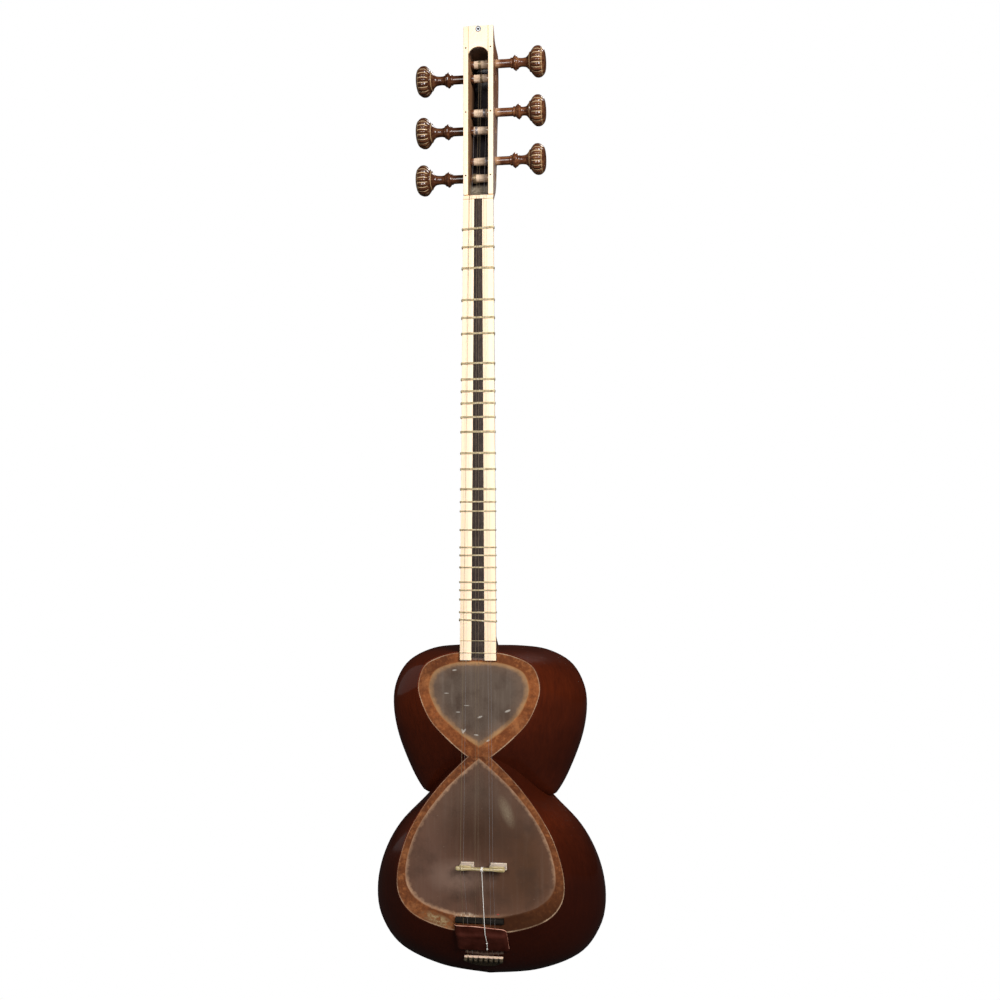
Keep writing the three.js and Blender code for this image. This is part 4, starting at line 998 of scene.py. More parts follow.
        # Painted reflections: pale glints of the strings on the skin just above the saddle
        string_reflections = self.times(self.spot(*SADDLE_STRING_REFLECTIONS, soft=0.5), self.ranged(self.hairs, 0.5, 0.56))
        tone = self.blend(self.times(string_reflections, 0.7), tone, BORDER_TONES["string reflection"])
        for white in WHITE_MARKS:
            tone = self.blend(self.times(self.spot(*white), 0.6), tone, SKIN_TONES["white mark"])
        return self.blend(self.spot(*RED_MARK), tone, SKIN_TONES["red mark"])


def skin_material(colours):
    made = SkinRecipe(colours)
    over_hollow = made.ramp(made.half_zone, (0.475, 0), (0.5, 1))
    tone = made.blend(over_hollow, made.border(), made.membrane())
    made.set("Base Color", made.marked(made.rimmed(tone)))
    made.set("Roughness", made.spread(made.cloud, 0.5, 0.7))
    made.bump(made.maths("ADD", made.streaks, made.times(made.ragged, 1.5)), 0.05 * MM, 0.4)
    return made.material


def gut_material(colours):
    made = Recipe("gut", Coat_Weight=0.3, Subsurface_Weight=0.15)
    made.set("Subsurface Radius", GUT_DEPTHS)
    tone = made.noise(500, detail=4)
    made.set("Base Color", made.ramp(tone, (0.3, shade(colours.gut, 0.6)), (0.7, (0.63, 0.52, 0.32))))
    made.set("Roughness", made.spread(tone, 0.3, 0.5))
    made.bump(made.noise(3000, detail=2), 0.04 * MM, 0.5)
    return made.material


def peg_material(colours):
    """Varnished wood with pale lines where groove is near 1, and bare inside the pegbox."""
    made = Recipe("turned_wood", Coat_Roughness=0.06, Specular_IOR_Level=0.2)
    across, groove, share = made.axis("X"), made.attribute("groove"), made.attribute("share")
    grain = made.noise(1, made.stretched((70, 420, 420)), detail=6, roughness=0.65, distortion=0.3)
    cloud = made.noise(120, detail=3)
    dark = shade(colours.peg, 0.22)
    wood = made.ramp(grain, (0.3, dark), (0.5, colours.peg), (0.74, (0.3, 0.135, 0.05)))
    shaded = made.times(made.ranged(across, *SHADED_PEGS, 0.55, 0), made.ranged(cloud, 0.3, 0.6, 0.6, 1))
    wood = made.blend(shaded, wood, dark)
    wood = made.laid(wood, (0.03, 0.012, 0.006), groove, 0.45, 0.8, 0.8)
    line = made.times(made.ranged(groove, 0.84, 0.95), made.ranged(cloud, 0.3, 0.55, 0.45, 1))
    wood = made.blend(line, wood, (0.62, 0.42, 0.24))
    for at in PEG_LINE_SHARES:
        wood = made.blend(made.ranged(made.off(share, at), 0.004, 0.01, 0.65, 0), wood, (0.5, 0.33, 0.16))
    # Painted highlight: the right pegs' shafts are lighter next to the pegbox, and the left pegs stay dark
    # there
    near = made.times(made.ranged(share, 0.03, 0.12, 0.8, 0), made.ranged(across, 0, MM))
    wood = made.blend(near, wood, (0.5, 0.28, 0.15))
    bare = made.ranged(made.maths("ABSOLUTE", across), BARE_HALF, BARE_HALF + BARE_FADE, 1, 0)
    pale = made.ramp(grain, (0.35, (0.42, 0.28, 0.18)), (0.6, (0.68, 0.52, 0.38)))
    made.set("Base Color", made.blend(bare, wood, pale))
    made.set("Coat Weight", made.ranged(bare, 0, 1, 0.5, 0))
    made.set("Roughness", made.ranged(bare, 0, 1, 0.28, 0.6))
    made.bump(grain, 0.05 * MM, 0.4)
    return made.material


def leather_material(colours):
    made = Recipe("leather", Roughness=0.5, Specular_IOR_Level=0.15)
    cells = made.node("ShaderNodeTexVoronoi", {"Vector": made.place, "Scale": 1500}).outputs["Distance"]
    cloud = made.noise(70, detail=4)
    made.set("Base Color", made.laid(colours.leather, (0.09, 0.02, 0.012), cloud, 0.4, 0.75, 0.7))
    made.set("Roughness", made.spread(cloud, 0.4, 0.62))
    made.bump(cells, 0.12 * MM, 0.5)
    return made.material


def edging_material():
    made = Recipe("pale_edging", Roughness=0.6)
    cloud = made.noise(160, detail=4)
    made.set("Base Color", made.ramp(cloud, (0.3, (0.3, 0.07, 0.03)), (0.65, (0.7, 0.36, 0.26))))
    return made.material


def metal_material(name, base):
    made = Recipe(name, Metallic=0.75)
    wear = made.noise(900, detail=4)
    made.set("Base Color", made.laid(base, shade(base, 0.6), wear, 0.4, 0.8))
    made.set("Roughness", made.spread(wear, 0.35, 0.55))
    return made.material


def thread_material():
    made = Recipe("cotton_thread", Roughness=0.8)
    fuzz = made.noise(2500, detail=3)
    made.set("Base Color", made.ramp(fuzz, (0.3, (0.6, 0.56, 0.5)), (0.7, (0.9, 0.88, 0.83))))
    made.bump(fuzz, 0.08 * MM, 0.7)
    return made.material


FINISHES = {}


def finish(name):
    """The material of a finish, made when it is first asked for."""
    if name not in FINISHES:
        c = bpy.context.scene.tar_colours
        makers = {
            "mulberry": lambda: lacquer_material(c),
            "walnut": lambda: walnut_material(c),
            "bone": lambda: bone_material(c),
            "dark_wood": lambda: dark_strip_material(c),
            "facing": lambda: bone_material(c, joint=sizes().slot_width / 2),
            "comb": lambda: bone_material(c, dull_below=COMB_DULL_LEVEL),
            "black_wood": black_material,
            "pegbox": pegbox_material,
            "screw": screw_material,
            "iron": iron_material,
            "edging": edging_material,
            "horn": lambda: horn_material(c),
            "skin": lambda: skin_material(c),
            "gut": lambda: gut_material(c),
            "peg_wood": lambda: peg_material(c),
            "leather": lambda: leather_material(c),
            "steel": lambda: metal_material("steel", (0.5, 0.46, 0.46)),
            "brass": lambda: metal_material("brass", (0.4, 0.3, 0.18)),
            "thread": thread_material,
        }
        FINISHES[name] = makers[name]()
    return FINISHES[name]


# The body


def half_outline(shares, width, length, bottom):
    points = [Vector((x * width / 2, bottom + z * length)) for x, z in shares]
    return spaced(points, OUTLINE_STEPS)


def ring_at(half, depth):
    """Half an outline made whole, at a depth behind the wooden face."""
    whole = half + [Vector((-p.x, p.y)) for p in reversed(half[1:-1])]
    y = depth - sizes().widest_depth
    return [Vector((p.x, y, p.y)) for p in whole]


def bowl(which):
    """The sizes of one bowl: outline at its widest, outline of its face, depth and centre."""
    s = sizes()
    if which == "large":
        return {
            "bowl": (LARGE_BOWL_SHARES, s.large_width, s.large_length, -TAIL_FLAT_CUT),
            "face": (LARGE_FACE_SHARES, s.large_face_width, s.large_face_length, s.large_face_bottom),
            "depth": s.large_depth, "centre": 0.4,
            "rim": LARGE_RIM, "rim_below": RIM_TAIL, "rim_above": LARGE_RIM_TOP,
        }
    return {
        "bowl": (SMALL_BOWL_SHARES, s.small_width, s.small_length, s.small_top - s.small_length),
        "face": (
            SMALL_FACE_SHARES, s.small_face_width, s.small_face_length,
            s.small_face_top - s.small_face_length,
        ),
        "depth": s.small_depth, "centre": 0.5,
        "rim": SMALL_RIM, "rim_below": SMALL_RIM_TIP, "rim_above": SMALL_RIM_TOP,
    }


def inset_outline(outline, wall):
    shares, width, tall, bottom = outline
    return half_outline(shares, width - 2 * wall, tall - 2 * wall, bottom + wall)


def bowl_shape(name, which, start, wall):
    """A bowl's outer shape, or the shape inside its wall."""
    this = bowl(which)
    deepest = sizes().widest_depth
    widest = inset_outline(this["bowl"], wall)
    face = inset_outline(this["face"], wall)
    rings = []
    for i in range(FRONT_STEPS + 1):
        depth = mix(start, deepest, i / FRONT_STEPS)
        swell = math.sin(math.pi / 2 * depth / deepest)
        rings.append(ring_at([p.lerp(q, swell) for p, q in zip(face, widest)], depth))
    _, _, tall, bottom = this["bowl"]
    centre = Vector((0, bottom + this["centre"] * tall))
    for i in range(1, BACK_STEPS + 1):
        angle = BACK_SWEEP * i / BACK_STEPS
        closing = [centre + (p - centre) * math.cos(angle) for p in widest]
        rings.append(ring_at(closing, deepest + (this["depth"] - wall - deepest) * math.sin(angle)))
    return loft(name, rings, poles=(False, True))


def opening_outline(which):
    """The edge of the opening under a skin."""
    this = bowl(which)
    shares, width, tall, bottom = this["face"]
    below, above = this["rim_below"], this["rim_above"]
    return half_outline(shares, width - 2 * this["rim"], tall - below - above, bottom + below)


def face_opening(which):
    half = opening_outline(which)
    rings = [ring_at(half, -OVERRUN), ring_at(half, sizes().rim_thickness + OVERRUN)]
    return loft("opening", rings)


def neck_cutter():
    """The space that the neck's foot takes up in the body."""
    levels = [i / HEEL_STEPS * HEEL_LENGTH for i in range(HEEL_STEPS + 1)]
    rings = [neck_ring(z, -OVERRUN, GLUE_GAP) for z in levels]
    foot = [on_neck(x, y, -GLUE_GAP) for x, y in neck_section(0, -OVERRUN, GLUE_GAP)]
    cutter = loft("neck_cutter", [foot, *rings])
    return join_or_cut(cutter, tenon(GLUE_GAP), "UNION")


class TAR_OT_body(bpy.types.Operator):
    """Carve the double bowl in its two halves"""

    bl_idname = "tar.body"
    bl_label = "Double Bowl"

    def execute(self, context):
        s = sizes()
        whole = bowl_shape("bowl", "large", 0, 0)
        join_or_cut(whole, bowl_shape("small", "small", 0, 0), "UNION")
        hollow = bowl_shape("hollow", "large", s.rim_thickness, s.bowl_wall)
        join_or_cut(hollow, bowl_shape("small", "small", s.rim_thickness, s.bowl_wall), "UNION")
        join_or_cut(whole, hollow, "DIFFERENCE")
        join_or_cut(whole, face_opening("large"), "DIFFERENCE")
        join_or_cut(whole, face_opening("small"), "DIFFERENCE")
        join_or_cut(whole, neck_cutter(), "DIFFERENCE")
        reach = s.large_width
        for side, name in ((-1, "bowl_left_half"), (1, "bowl_right_half")):
            half = copy_of(whole, f"carved_{name}")
            low = min(side * SEAM_GAP / 2, side * reach)
            high = max(side * SEAM_GAP / 2, side * reach)
            keep = box("keep", (low, -reach, 0), (high, reach, s.small_top + OVERRUN))
            join_or_cut(half, keep, "INTERSECT")
            soften(half, 0, angle=28)
            dress(half, finish("mulberry"), replaces=[name])
        bpy.data.objects.remove(whole)
        return {"FINISHED"}


def skin_sheet(which):
    """One skin as an open sheet of rings, with its zones: the edge, the opening, the middle."""
    this = bowl(which)
    outer = inset_outline(this["face"], sizes().skin_inset)
    inner = opening_outline(which)
    _, _, tall, bottom = this["face"]
    centre = Vector((0, bottom + SKIN_CENTRE[which] * tall))
    depth = -GLUE_GAP
    rings, zones = [], []
    for i in range(SKIN_BORDER_STEPS + 1):
        share = i / SKIN_BORDER_STEPS
        rings.append(ring_at([p.lerp(q, share) for p, q in zip(outer, inner)], depth))
        zones.append(share)
    for i in range(1, SKIN_STEPS + 1):
        share = i / SKIN_STEPS * SKIN_CLOSING_SHARE
        rings.append(ring_at([p.lerp(centre, share) for p in inner], depth))
        zones.append(1 + share)
    sheet = loft(f"stretched_{which}_skin", rings, capped=False)
    zone = sheet.data.attributes.new("zone", "FLOAT", "POINT")
    count = len(rings[0])
    zone.data.foreach_set("value", [zones[i // count] for i in range(count * len(rings))])
    edit(sheet)
    seat_ring(sheet, rings[-1], slice(-count, None))
    bpy.ops.mesh.merge(type="CENTER")
    leave_edit()
    return sheet


def trim(piece, place, normal):
    """Cuts an open sheet along a plane and drops what lies beyond it."""
    edit(piece)
    bpy.ops.mesh.select_all(action="SELECT")
    bpy.ops.mesh.bisect(plane_co=place, plane_no=normal, clear_outer=True, threshold=MM / 1000)
    leave_edit()


def notch(sheet):
    """Cuts the place of the neck's foot out of the small skin."""
    side = sizes().neck_width / 2 + GLUE_GAP
    foot = on_neck(0, 0, -GLUE_GAP).z
    edit(sheet)
    for place, normal in (((0, 0, foot), (0, 0, 1)), ((-side, 0, 0), (1, 0, 0)), ((side, 0, 0), (1, 0, 0))):
        bpy.ops.mesh.select_all(action="SELECT")
        bpy.ops.mesh.bisect(plane_co=place, plane_no=normal, threshold=MM / 1000)
    mesh = bmesh.from_edit_mesh(sheet.data)
    bpy.ops.mesh.select_all(action="DESELECT")
    for face in mesh.faces:
        middle = face.calc_center_median()
        face.select_set(abs(middle.x) < side and middle.z > foot)
    bpy.ops.mesh.delete(type="FACE")
    leave_edit()


def face_forwards(sheet):
    """Turns the faces of an open sheet the same way, out of the playing face."""
    face_outwards(sheet)
    edit(sheet)
    if sum(face.normal.y for face in bmesh.from_edit_mesh(sheet.data).faces) > 0:
        bpy.ops.mesh.select_all(action="SELECT")
        bpy.ops.mesh.flip_normals()
    leave_edit()


class TAR_OT_skins(bpy.types.Operator):
    """Stretch the two skins over the bowls"""

    bl_idname = "tar.skins"
    bl_label = "Skins"

    def execute(self, context):
        s = sizes()
        large = skin_sheet("large")
        trim(large, (0, 0, s.skins_meet - GLUE_GAP), (0, 0, 1))
        small = skin_sheet("small")
        trim(small, (0, 0, s.skins_meet), (0, 0, -1))
        notch(small)
        for sheet, node in ((large, "large_skin"), (small, "small_skin")):
            face_forwards(sheet)
            apply_modifier(sheet, "SOLIDIFY", thickness=s.skin_thickness, offset=1)
            soften(sheet, 0)
            dress(sheet, finish("skin"), replaces=[node])
        return {"FINISHED"}


# The neck


def width_at(z):
    s = sizes()
    return mix(s.neck_width, s.nut_width, min(z / s.fingerboard, 1))


def heel_share_at(z):
    return 1 - smooth_step(z, HEEL_LENGTH / 3, HEEL_LENGTH)


def depth_at(z):
    s = sizes()
    if z <= s.fingerboard:
        plain = mix(s.neck_depth, s.nut_depth, max(z, 0) / s.fingerboard)
        return mix(plain, HEEL_DEPTH, heel_share_at(z))
    rows = [(0, s.nut_depth / s.pegbox_depth), *PEGBOX_DEPTH_SHARES]
    return s.pegbox_depth * smooth_table(rows, (z - s.fingerboard) / s.pegbox_length)


def squareness_at(z):
    s = sizes()
    boxed = smooth_step(z, s.fingerboard - NUT_LENGTH, s.fingerboard + SLOT_TOP_MARGIN)
    below = mix(NECK_SQUARENESS, HEEL_SQUARENESS, heel_share_at(z))
    return mix(below, PEGBOX_SQUARENESS, boxed)


def slimness_at(z):
    """1 where the neck's sides lean in behind the fingerboard, 0 at the heel and the pegbox."""
    s = sizes()
    below_pegbox = 1 - smooth_step(z, s.fingerboard - NUT_LENGTH, s.fingerboard + 3 * NUT_LENGTH)
    above_heel = smooth_step(z, *(HEEL_LENGTH * share for share in LEAN_SHARES))
    return below_pegbox * above_heel


def neck_section(z, front, grow=0):
    """The neck's outline at a height: from the left edge round the back to the right."""
    half = width_at(z) / 2 + grow
    back = depth_at(z) + grow
    power = 2 / squareness_at(z)
    waist = half - NECK_LEAN * slimness_at(z)
    section = [(-half, NECK_SHOULDER)]
    for i in range(NECK_STEPS + 1):
        angle = math.pi * i / NECK_STEPS
        x, y = -math.cos(angle), max(math.sin(angle), 0)
        across = waist * math.copysign(abs(x) ** power, x)
        section.append((across, NECK_SIDE + (back - NECK_SIDE) * y**power))
    return section + [(half, NECK_SHOULDER), (half, front - grow), (-half, front - grow)]


def neck_ring(z, front, grow=0):
    return [on_neck(x, y, z) for x, y in neck_section(z, front, grow)]


def neck_box(name, low, high):
    """A box in the neck's own frame."""
    (x0, y0, z0), (x1, y1, z1) = low, high
    rings = [
        [on_neck(x, y, z) for x, y in ((x0, y0), (x1, y0), (x1, y1), (x0, y1))] for z in (z0, z1)
    ]
    return loft(name, rings)


def tenon(grow=0):
    front = NECK_PROUD + sizes().rim_thickness + 2 * GLUE_GAP - grow
    half = TENON_WIDTH / 2 + grow
    return neck_box(
        "tenon", (-half, front, -TENON_LENGTH - grow), (half, TENON_DEPTH + grow, HEEL_LENGTH / 3)
    )


def tongue(grow=0):
    half = TONGUE_WIDTH / 2 + grow
    level = splice_level()
    low = (-half, TONGUE_FRONT - grow, level - TONGUE_LENGTH - grow)
    return neck_box("tongue", low, (half, TONGUE_FRONT + TONGUE_THICKNESS + grow, level + OVERRUN))


def splice_level():
    return sizes().fingerboard - SPLICE_LENGTH


def neck_prism(name, outline, low, high, axis):
    """A prism in the neck's own frame, along its width or its depth."""
    if axis == "X":
        rings = [[on_neck(x, y, z) for z, y in outline] for x in (low, high)]
    else:
        rings = [[on_neck(x, y, z) for x, z in outline] for y in (low, high)]
    return loft(name, rings)


class TAR_OT_neck(bpy.types.Operator):
    """Shape the neck and lay its bone and dark strips"""

    bl_idname = "tar.neck"
    bl_label = "Neck"

    def execute(self, context):
        top = splice_level() - GLUE_GAP
        levels = [HEEL_LENGTH * i / HEEL_STEPS for i in range(HEEL_STEPS + 1)]
        levels += [mix(HEEL_LENGTH, top, i / NECK_LEVELS) for i in range(1, NECK_LEVELS + 1)]
        neck = loft("walnut_neck", [neck_ring(z, OVERLAY + GLUE_GAP) for z in levels])
        join_or_cut(neck, tenon(), "UNION")
        join_or_cut(neck, tongue(GLUE_GAP), "DIFFERENCE")
        soften(neck, 0, angle=30)
        dress(neck, finish("walnut"), replaces=["neck"])
        for node, slot in (
            ("bone_strip_left", "bone"), ("bone_strip_right", "bone"), ("dark_strip", "dark_wood"),
        ):
            strip = refined(f"laid_{node}", node, STRIP_ROUNDING)
            dress(strip, finish(slot), replaces=[node])
        nut = refined("bone_nut", "nut", NUT_ROUNDING)
        dress(nut, finish("bone"), replaces=["nut"])
        return {"FINISHED"}


def fret_section(z, grow):
    """A closed line round the neck and its facing, with rounded front corners."""
    section = [Vector(p) for p in neck_section(z, 0, grow)[:-2]]
    half = width_at(z) / 2
    for side in (1, -1):
        for i in range(FRET_CORNER_STEPS):
            angle = math.pi / 2 * (i + 0.5) / FRET_CORNER_STEPS
            if side < 0:
                angle = math.pi / 2 - angle
            section.append(Vector((side * (half + grow * math.cos(angle)), -grow * math.sin(angle))))
    return section


def fret_knot(x, z, band):
    """The knot of a fret's gut, at its place across and up, with its loose end."""
    line = []
    for k in range(KNOT_STEPS + 1):
        share = k / KNOT_STEPS
        angle = 2 * math.pi * KNOT_LOOPS * share
        depth = KNOT_DEPTH + (share - 0.5) * KNOT_RUN
        rise = band * KNOT_RISE_SHARE * math.sin(angle)
        line.append(on_neck(x - KNOT_HALF_WIDTH * math.cos(angle), depth, z + rise))
    line.append(line[-1] + Vector(KNOT_END))
    return tube("knot", line, sizes().gut * KNOT_GUT_SHARE, 6)


def tied_fret(name, z):
    """A fret of gut wound round the neck, turn beside turn, and knotted at its left edge."""
    s = sizes()
    band = mix(FRET_BAND_BODY, FRET_BAND_NUT, z / s.fingerboard)
    turns = max(round(band / s.gut), 2)
    slant = FRET_SLANTS.get(name, 0)
    line = fret_section(z, FRET_HOLD + s.gut / 2 + abs(slant) * SLANT_REACH)
    steps = turns * len(line)
    points = []
    for k in range(steps + 1):
        x, y = line[k % len(line)]
        rise = (k / steps - 0.5) * (turns - 1) * s.gut
        points.append(on_neck(x, y, z + rise + slant * x))
    coil = tube(name, points, s.gut / 2)
    knot_x = -width_at(z) / 2 - FRET_HOLD - s.gut - KNOT_GAP
    return joined(name, [coil, fret_knot(knot_x, z, band)])


class TAR_OT_frets(bpy.types.Operator):
    """Tie the gut frets round the neck and glue the two over the body"""

    bl_idname = "tar.frets"
    bl_label = "Frets"

    def execute(self, context):
        s = sizes()
        nut = on_neck(0, -NUT_RISE, s.fingerboard)
        low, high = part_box("bridge")
        scale = (nut - Vector((0, low.y, (low.z + high.z) / 2))).length
        for i, share in enumerate(FRET_SHARES, 1):
            name = f"fret_{i:02d}"
            fret = tied_fret(f"tied_{name}", s.fingerboard - share * scale)
            dress(fret, finish("gut"), name, [name])
        for i, share in enumerate(GLUED_FRET_SHARES, 1):
            z = s.fingerboard - share * scale
            half = width_at(z) / 2
            y = -s.gut / 2 - GLUED_FRET_LIFT
            shares = [k / GLUED_FRET_STEPS for k in range(GLUED_FRET_STEPS + 1)]
            points = [on_neck(mix(-half, half, at), y, z) for at in shares]
            glued = tube(f"glued_fret_{i}", points, s.gut / 2)
            dress(glued, finish("gut"))
        return {"FINISHED"}


# The pegbox


def slot_arch(half, foot, top, rise):
    """The slot's outline across and up, with its rounded upper end."""
    outline = [(-half, foot), (half, foot), (half, top - rise)]
    for i in range(1, ARCH_STEPS):
        angle = math.pi * i / ARCH_STEPS
        outline.append((half * math.cos(angle), top - rise + rise * math.sin(angle)))
    return outline + [(-half, top - rise)]


def slot_hollow():
    s = sizes()
    pegbox_top = s.fingerboard + s.pegbox_length
    foot = s.fingerboard + NUT_LENGTH
    top = pegbox_top - SLOT_TOP_MARGIN
    ceiling = top - SLOT_CEILING_DROP
    ramp_foot = foot + SLOT_RAMP
    floor = [mix(ramp_foot, ceiling, i / SLOT_FLOOR_STEPS) for i in range(SLOT_FLOOR_STEPS + 1)]
    profile = [(foot, -OVERRUN), (foot, OVERLAY + GLUE_GAP)]
    profile += [(z, depth_at(z) - PEGBOX_FLOOR) for z in floor]
    profile += [(top, 0), (top, -OVERRUN)]
    half = s.slot_width / 2
    hollow = neck_prism("slot", profile, -half - OVERRUN, half + OVERRUN, "X")
    outline = slot_arch(half, foot - OVERRUN, top, ARCH_RISE)
    arch = neck_prism("arch", outline, -OVERRUN, s.pegbox_depth, "Y")
    return join_or_cut(hollow, arch, "INTERSECT")


def top_slope():
    """The wood above the pegbox's sloping top."""
    s = sizes()
    top = s.fingerboard + s.pegbox_length
    rows = []
    for deep, drop in TOP_SLOPE_SHARES:
        rows.append(Vector((deep * s.pegbox_depth, top - drop * s.pegbox_length)))
    curve = spaced(rows, TOP_SLOPE_STEPS)
    over = top + OVERRUN
    profile = [(over, 0), *((p.y, p.x) for p in curve), (over, curve[-1].x)]
    return neck_prism("slope", profile, -s.nut_width, s.nut_width, "X")


def shaft_radius(out):
    """The peg shaft's radius at a distance from the middle, towards the head."""
    return PEG_SHAFT / 2 - PEG_TAPER / 2 * (0.5 - out / sizes().nut_width)


def peg_side(name):
    return 1 if name.startswith("right") else -1


def peg_level(name):
    s = sizes()
    return s.fingerboard + PEG_SHARES[name] * s.pegbox_length


def round_ring(x, radius, z, sides=PEG_SIDES, ripple=0):
    """A ring round a peg's axis, rippled into flutes where a ripple is given."""
    ring = []
    for k in range(sides):
        angle = 2 * math.pi * k / sides
        r = radius * (1 - ripple * (0.5 + 0.5 * math.cos(PEG_FLUTES * angle)))
        ring.append(on_neck(x, PEG_AXIS_DEPTH + r * math.cos(angle), z + r * math.sin(angle)))
    return ring


def peg_hole(name):
    half = sizes().nut_width / 2 + OVERRUN
    side = peg_side(name)
    rings = [
        round_ring(side * out, shaft_radius(out) + RUNNING_GAP, peg_level(name), PEG_HOLE_SIDES)
        for out in (-half, half)
    ]
    return loft("peg_hole", rings)


def turned_in_front(name, profile, x, level, sides=32):
    """A round piece seen from the front, with its radii given at depths behind the facing."""
    rings = []
    for y, r in profile:
        angles = [2 * math.pi * k / sides for k in range(sides)]
        rings.append([on_neck(x + r * math.cos(a), y, level + r * math.sin(a)) for a in angles])
    return loft(name, rings)


def screw_level():
    return sizes().fingerboard + sizes().pegbox_length - SCREW_DROP


def screw_hole():
    head, shank = SCREW_HEAD + GLUE_GAP, SCREW_SHANK + GLUE_GAP
    profile = [
        (-OVERRUN, head), (SCREW_SEAT, head), (SCREW_SEAT, shank), (SCREW_LENGTH + GLUE_GAP, shank),
    ]
    return turned_in_front("screw_hole", profile, 0, screw_level())


def screw():
    """A screw with a raised rim round its head, a groove inside it and a deep socket."""
    head, socket, shank = SCREW_HEAD, SCREW_SOCKET, SCREW_SHANK
    profile = [
        (SCREW_LENGTH, shank * 0.3), (SCREW_LENGTH - SCREW_POINT, shank * 0.9), (SCREW_SEAT, shank * 0.9),
        (SCREW_SEAT, head - SCREW_EDGE), (SCREW_SEAT - SCREW_EDGE, head), (0, head),
        (-SCREW_RISE, head - 1.5 * SCREW_EDGE), (-SCREW_RISE, head - SCREW_RIM),
        (SCREW_EDGE, head - SCREW_RIM - SCREW_EDGE), (0, socket + 3 * SCREW_EDGE),
        (SCREW_EDGE, socket), (SCREW_SOCKET_DEPTH, socket * 0.8),
    ]
    piece = turned_in_front("steel_screw", profile, 0, screw_level())
    mark(piece, "socket", lambda at: (at.x**2 + (off_neck(at).z - screw_level())**2) ** 0.5 / head)
    return soften(piece, 0)


class TAR_OT_pegbox(bpy.types.Operator):
    """Shape the pegbox, its bone facing, its screw and its pins"""

    bl_idname = "tar.pegbox"
    bl_label = "Pegbox"

    def execute(self, context):
        s = sizes()
        top = s.fingerboard + s.pegbox_length
        foot = splice_level()
        levels = [mix(foot, top, i / PEGBOX_LEVELS) for i in range(PEGBOX_LEVELS + 1)]
        walnut = loft("walnut_pegbox", [neck_ring(z, OVERLAY + GLUE_GAP) for z in levels])
        join_or_cut(walnut, tongue(), "UNION")
        join_or_cut(walnut, slot_hollow(), "DIFFERENCE")
        join_or_cut(walnut, top_slope(), "DIFFERENCE")
        for name in PEG_SHARES:
            join_or_cut(walnut, peg_hole(name), "DIFFERENCE")
        join_or_cut(walnut, screw_hole(), "DIFFERENCE")
        soften(walnut, 0, angle=30)
        mark(walnut, "wall", self.is_wall)
        mark(walnut, "deep", self.slot_shade)
        dress(walnut, finish("pegbox"), replaces=["pegbox"])
        dress(self.facing(top), finish("facing"), replaces=["pegbox_facing"])
        dress(screw(), finish("screw"), replaces=["pegbox_screw"])
        self.add_pins(top)
        return {"FINISHED"}

    def facing(self, top):
        """The bone plate on the pegbox, with the slot's arch and the screw's hole in it."""
        s = sizes()
        half, rail = s.nut_width / 2, s.slot_width / 2
        start = s.fingerboard + NUT_LENGTH + GLUE_GAP
        corners = [(-half, start), (half, start), (half, top), (-half, top)]
        plate = neck_prism("bone_facing", corners, 0, OVERLAY, "Y")
        outline = slot_arch(rail, start - OVERRUN, top - SLOT_TOP_MARGIN, ARCH_RISE)
        join_or_cut(plate, neck_prism("arch", outline, -OVERRUN, OVERLAY + OVERRUN, "Y"), "DIFFERENCE")
        join_or_cut(plate, screw_hole(), "DIFFERENCE")
        return soften(plate, STRIP_ROUNDING, 3)

    def is_wall(self, point):
        """1 on the slot's walls and floor, 0 on the pegbox's outside."""
        s = sizes()
        at = off_neck(point)
        inside = abs(at.x) < s.slot_width / 2 + WALL_SLACK
        shallow = at.y < depth_at(at.z) - PEGBOX_FLOOR + FLOOR_SLACK
        arch = s.fingerboard + s.pegbox_length - SLOT_TOP_MARGIN + FLOOR_SLACK
        return float(inside and shallow and s.fingerboard < at.z < arch)

    def slot_shade(self, point):
        """Painted shade in the slot: 1 on its floor, and less on its right wall and under its arch."""
        at = off_neck(point)
        floor = smooth_step(at.y / (depth_at(at.z) - PEGBOX_FLOOR), 0.3, 0.9)
        arch = sizes().fingerboard + sizes().pegbox_length - SLOT_TOP_MARGIN
        under_arch = smooth_step(at.z, *(arch - drop for drop in ARCH_SHADE_DROPS))
        return max(floor, RIGHT_WALL_SHADE if at.x > 0 else ARCH_SHADE * under_arch)

    def add_pins(self, top):
        rail = (sizes().slot_width / 2 + sizes().nut_width / 2) / 2
        profile = [(depth, share * PIN_RADIUS) for depth, share in PIN_PROFILE]
        for row, drop in enumerate(PIN_DROPS, 1):
            for side, word in ((-1, "left"), (1, "right")):
                name = f"rail_pin_{word}_{row}"
                pin = turned_in_front(name, profile, side * rail, top - drop, PIN_SIDES)
                dress(soften(pin, 0), finish("iron"))


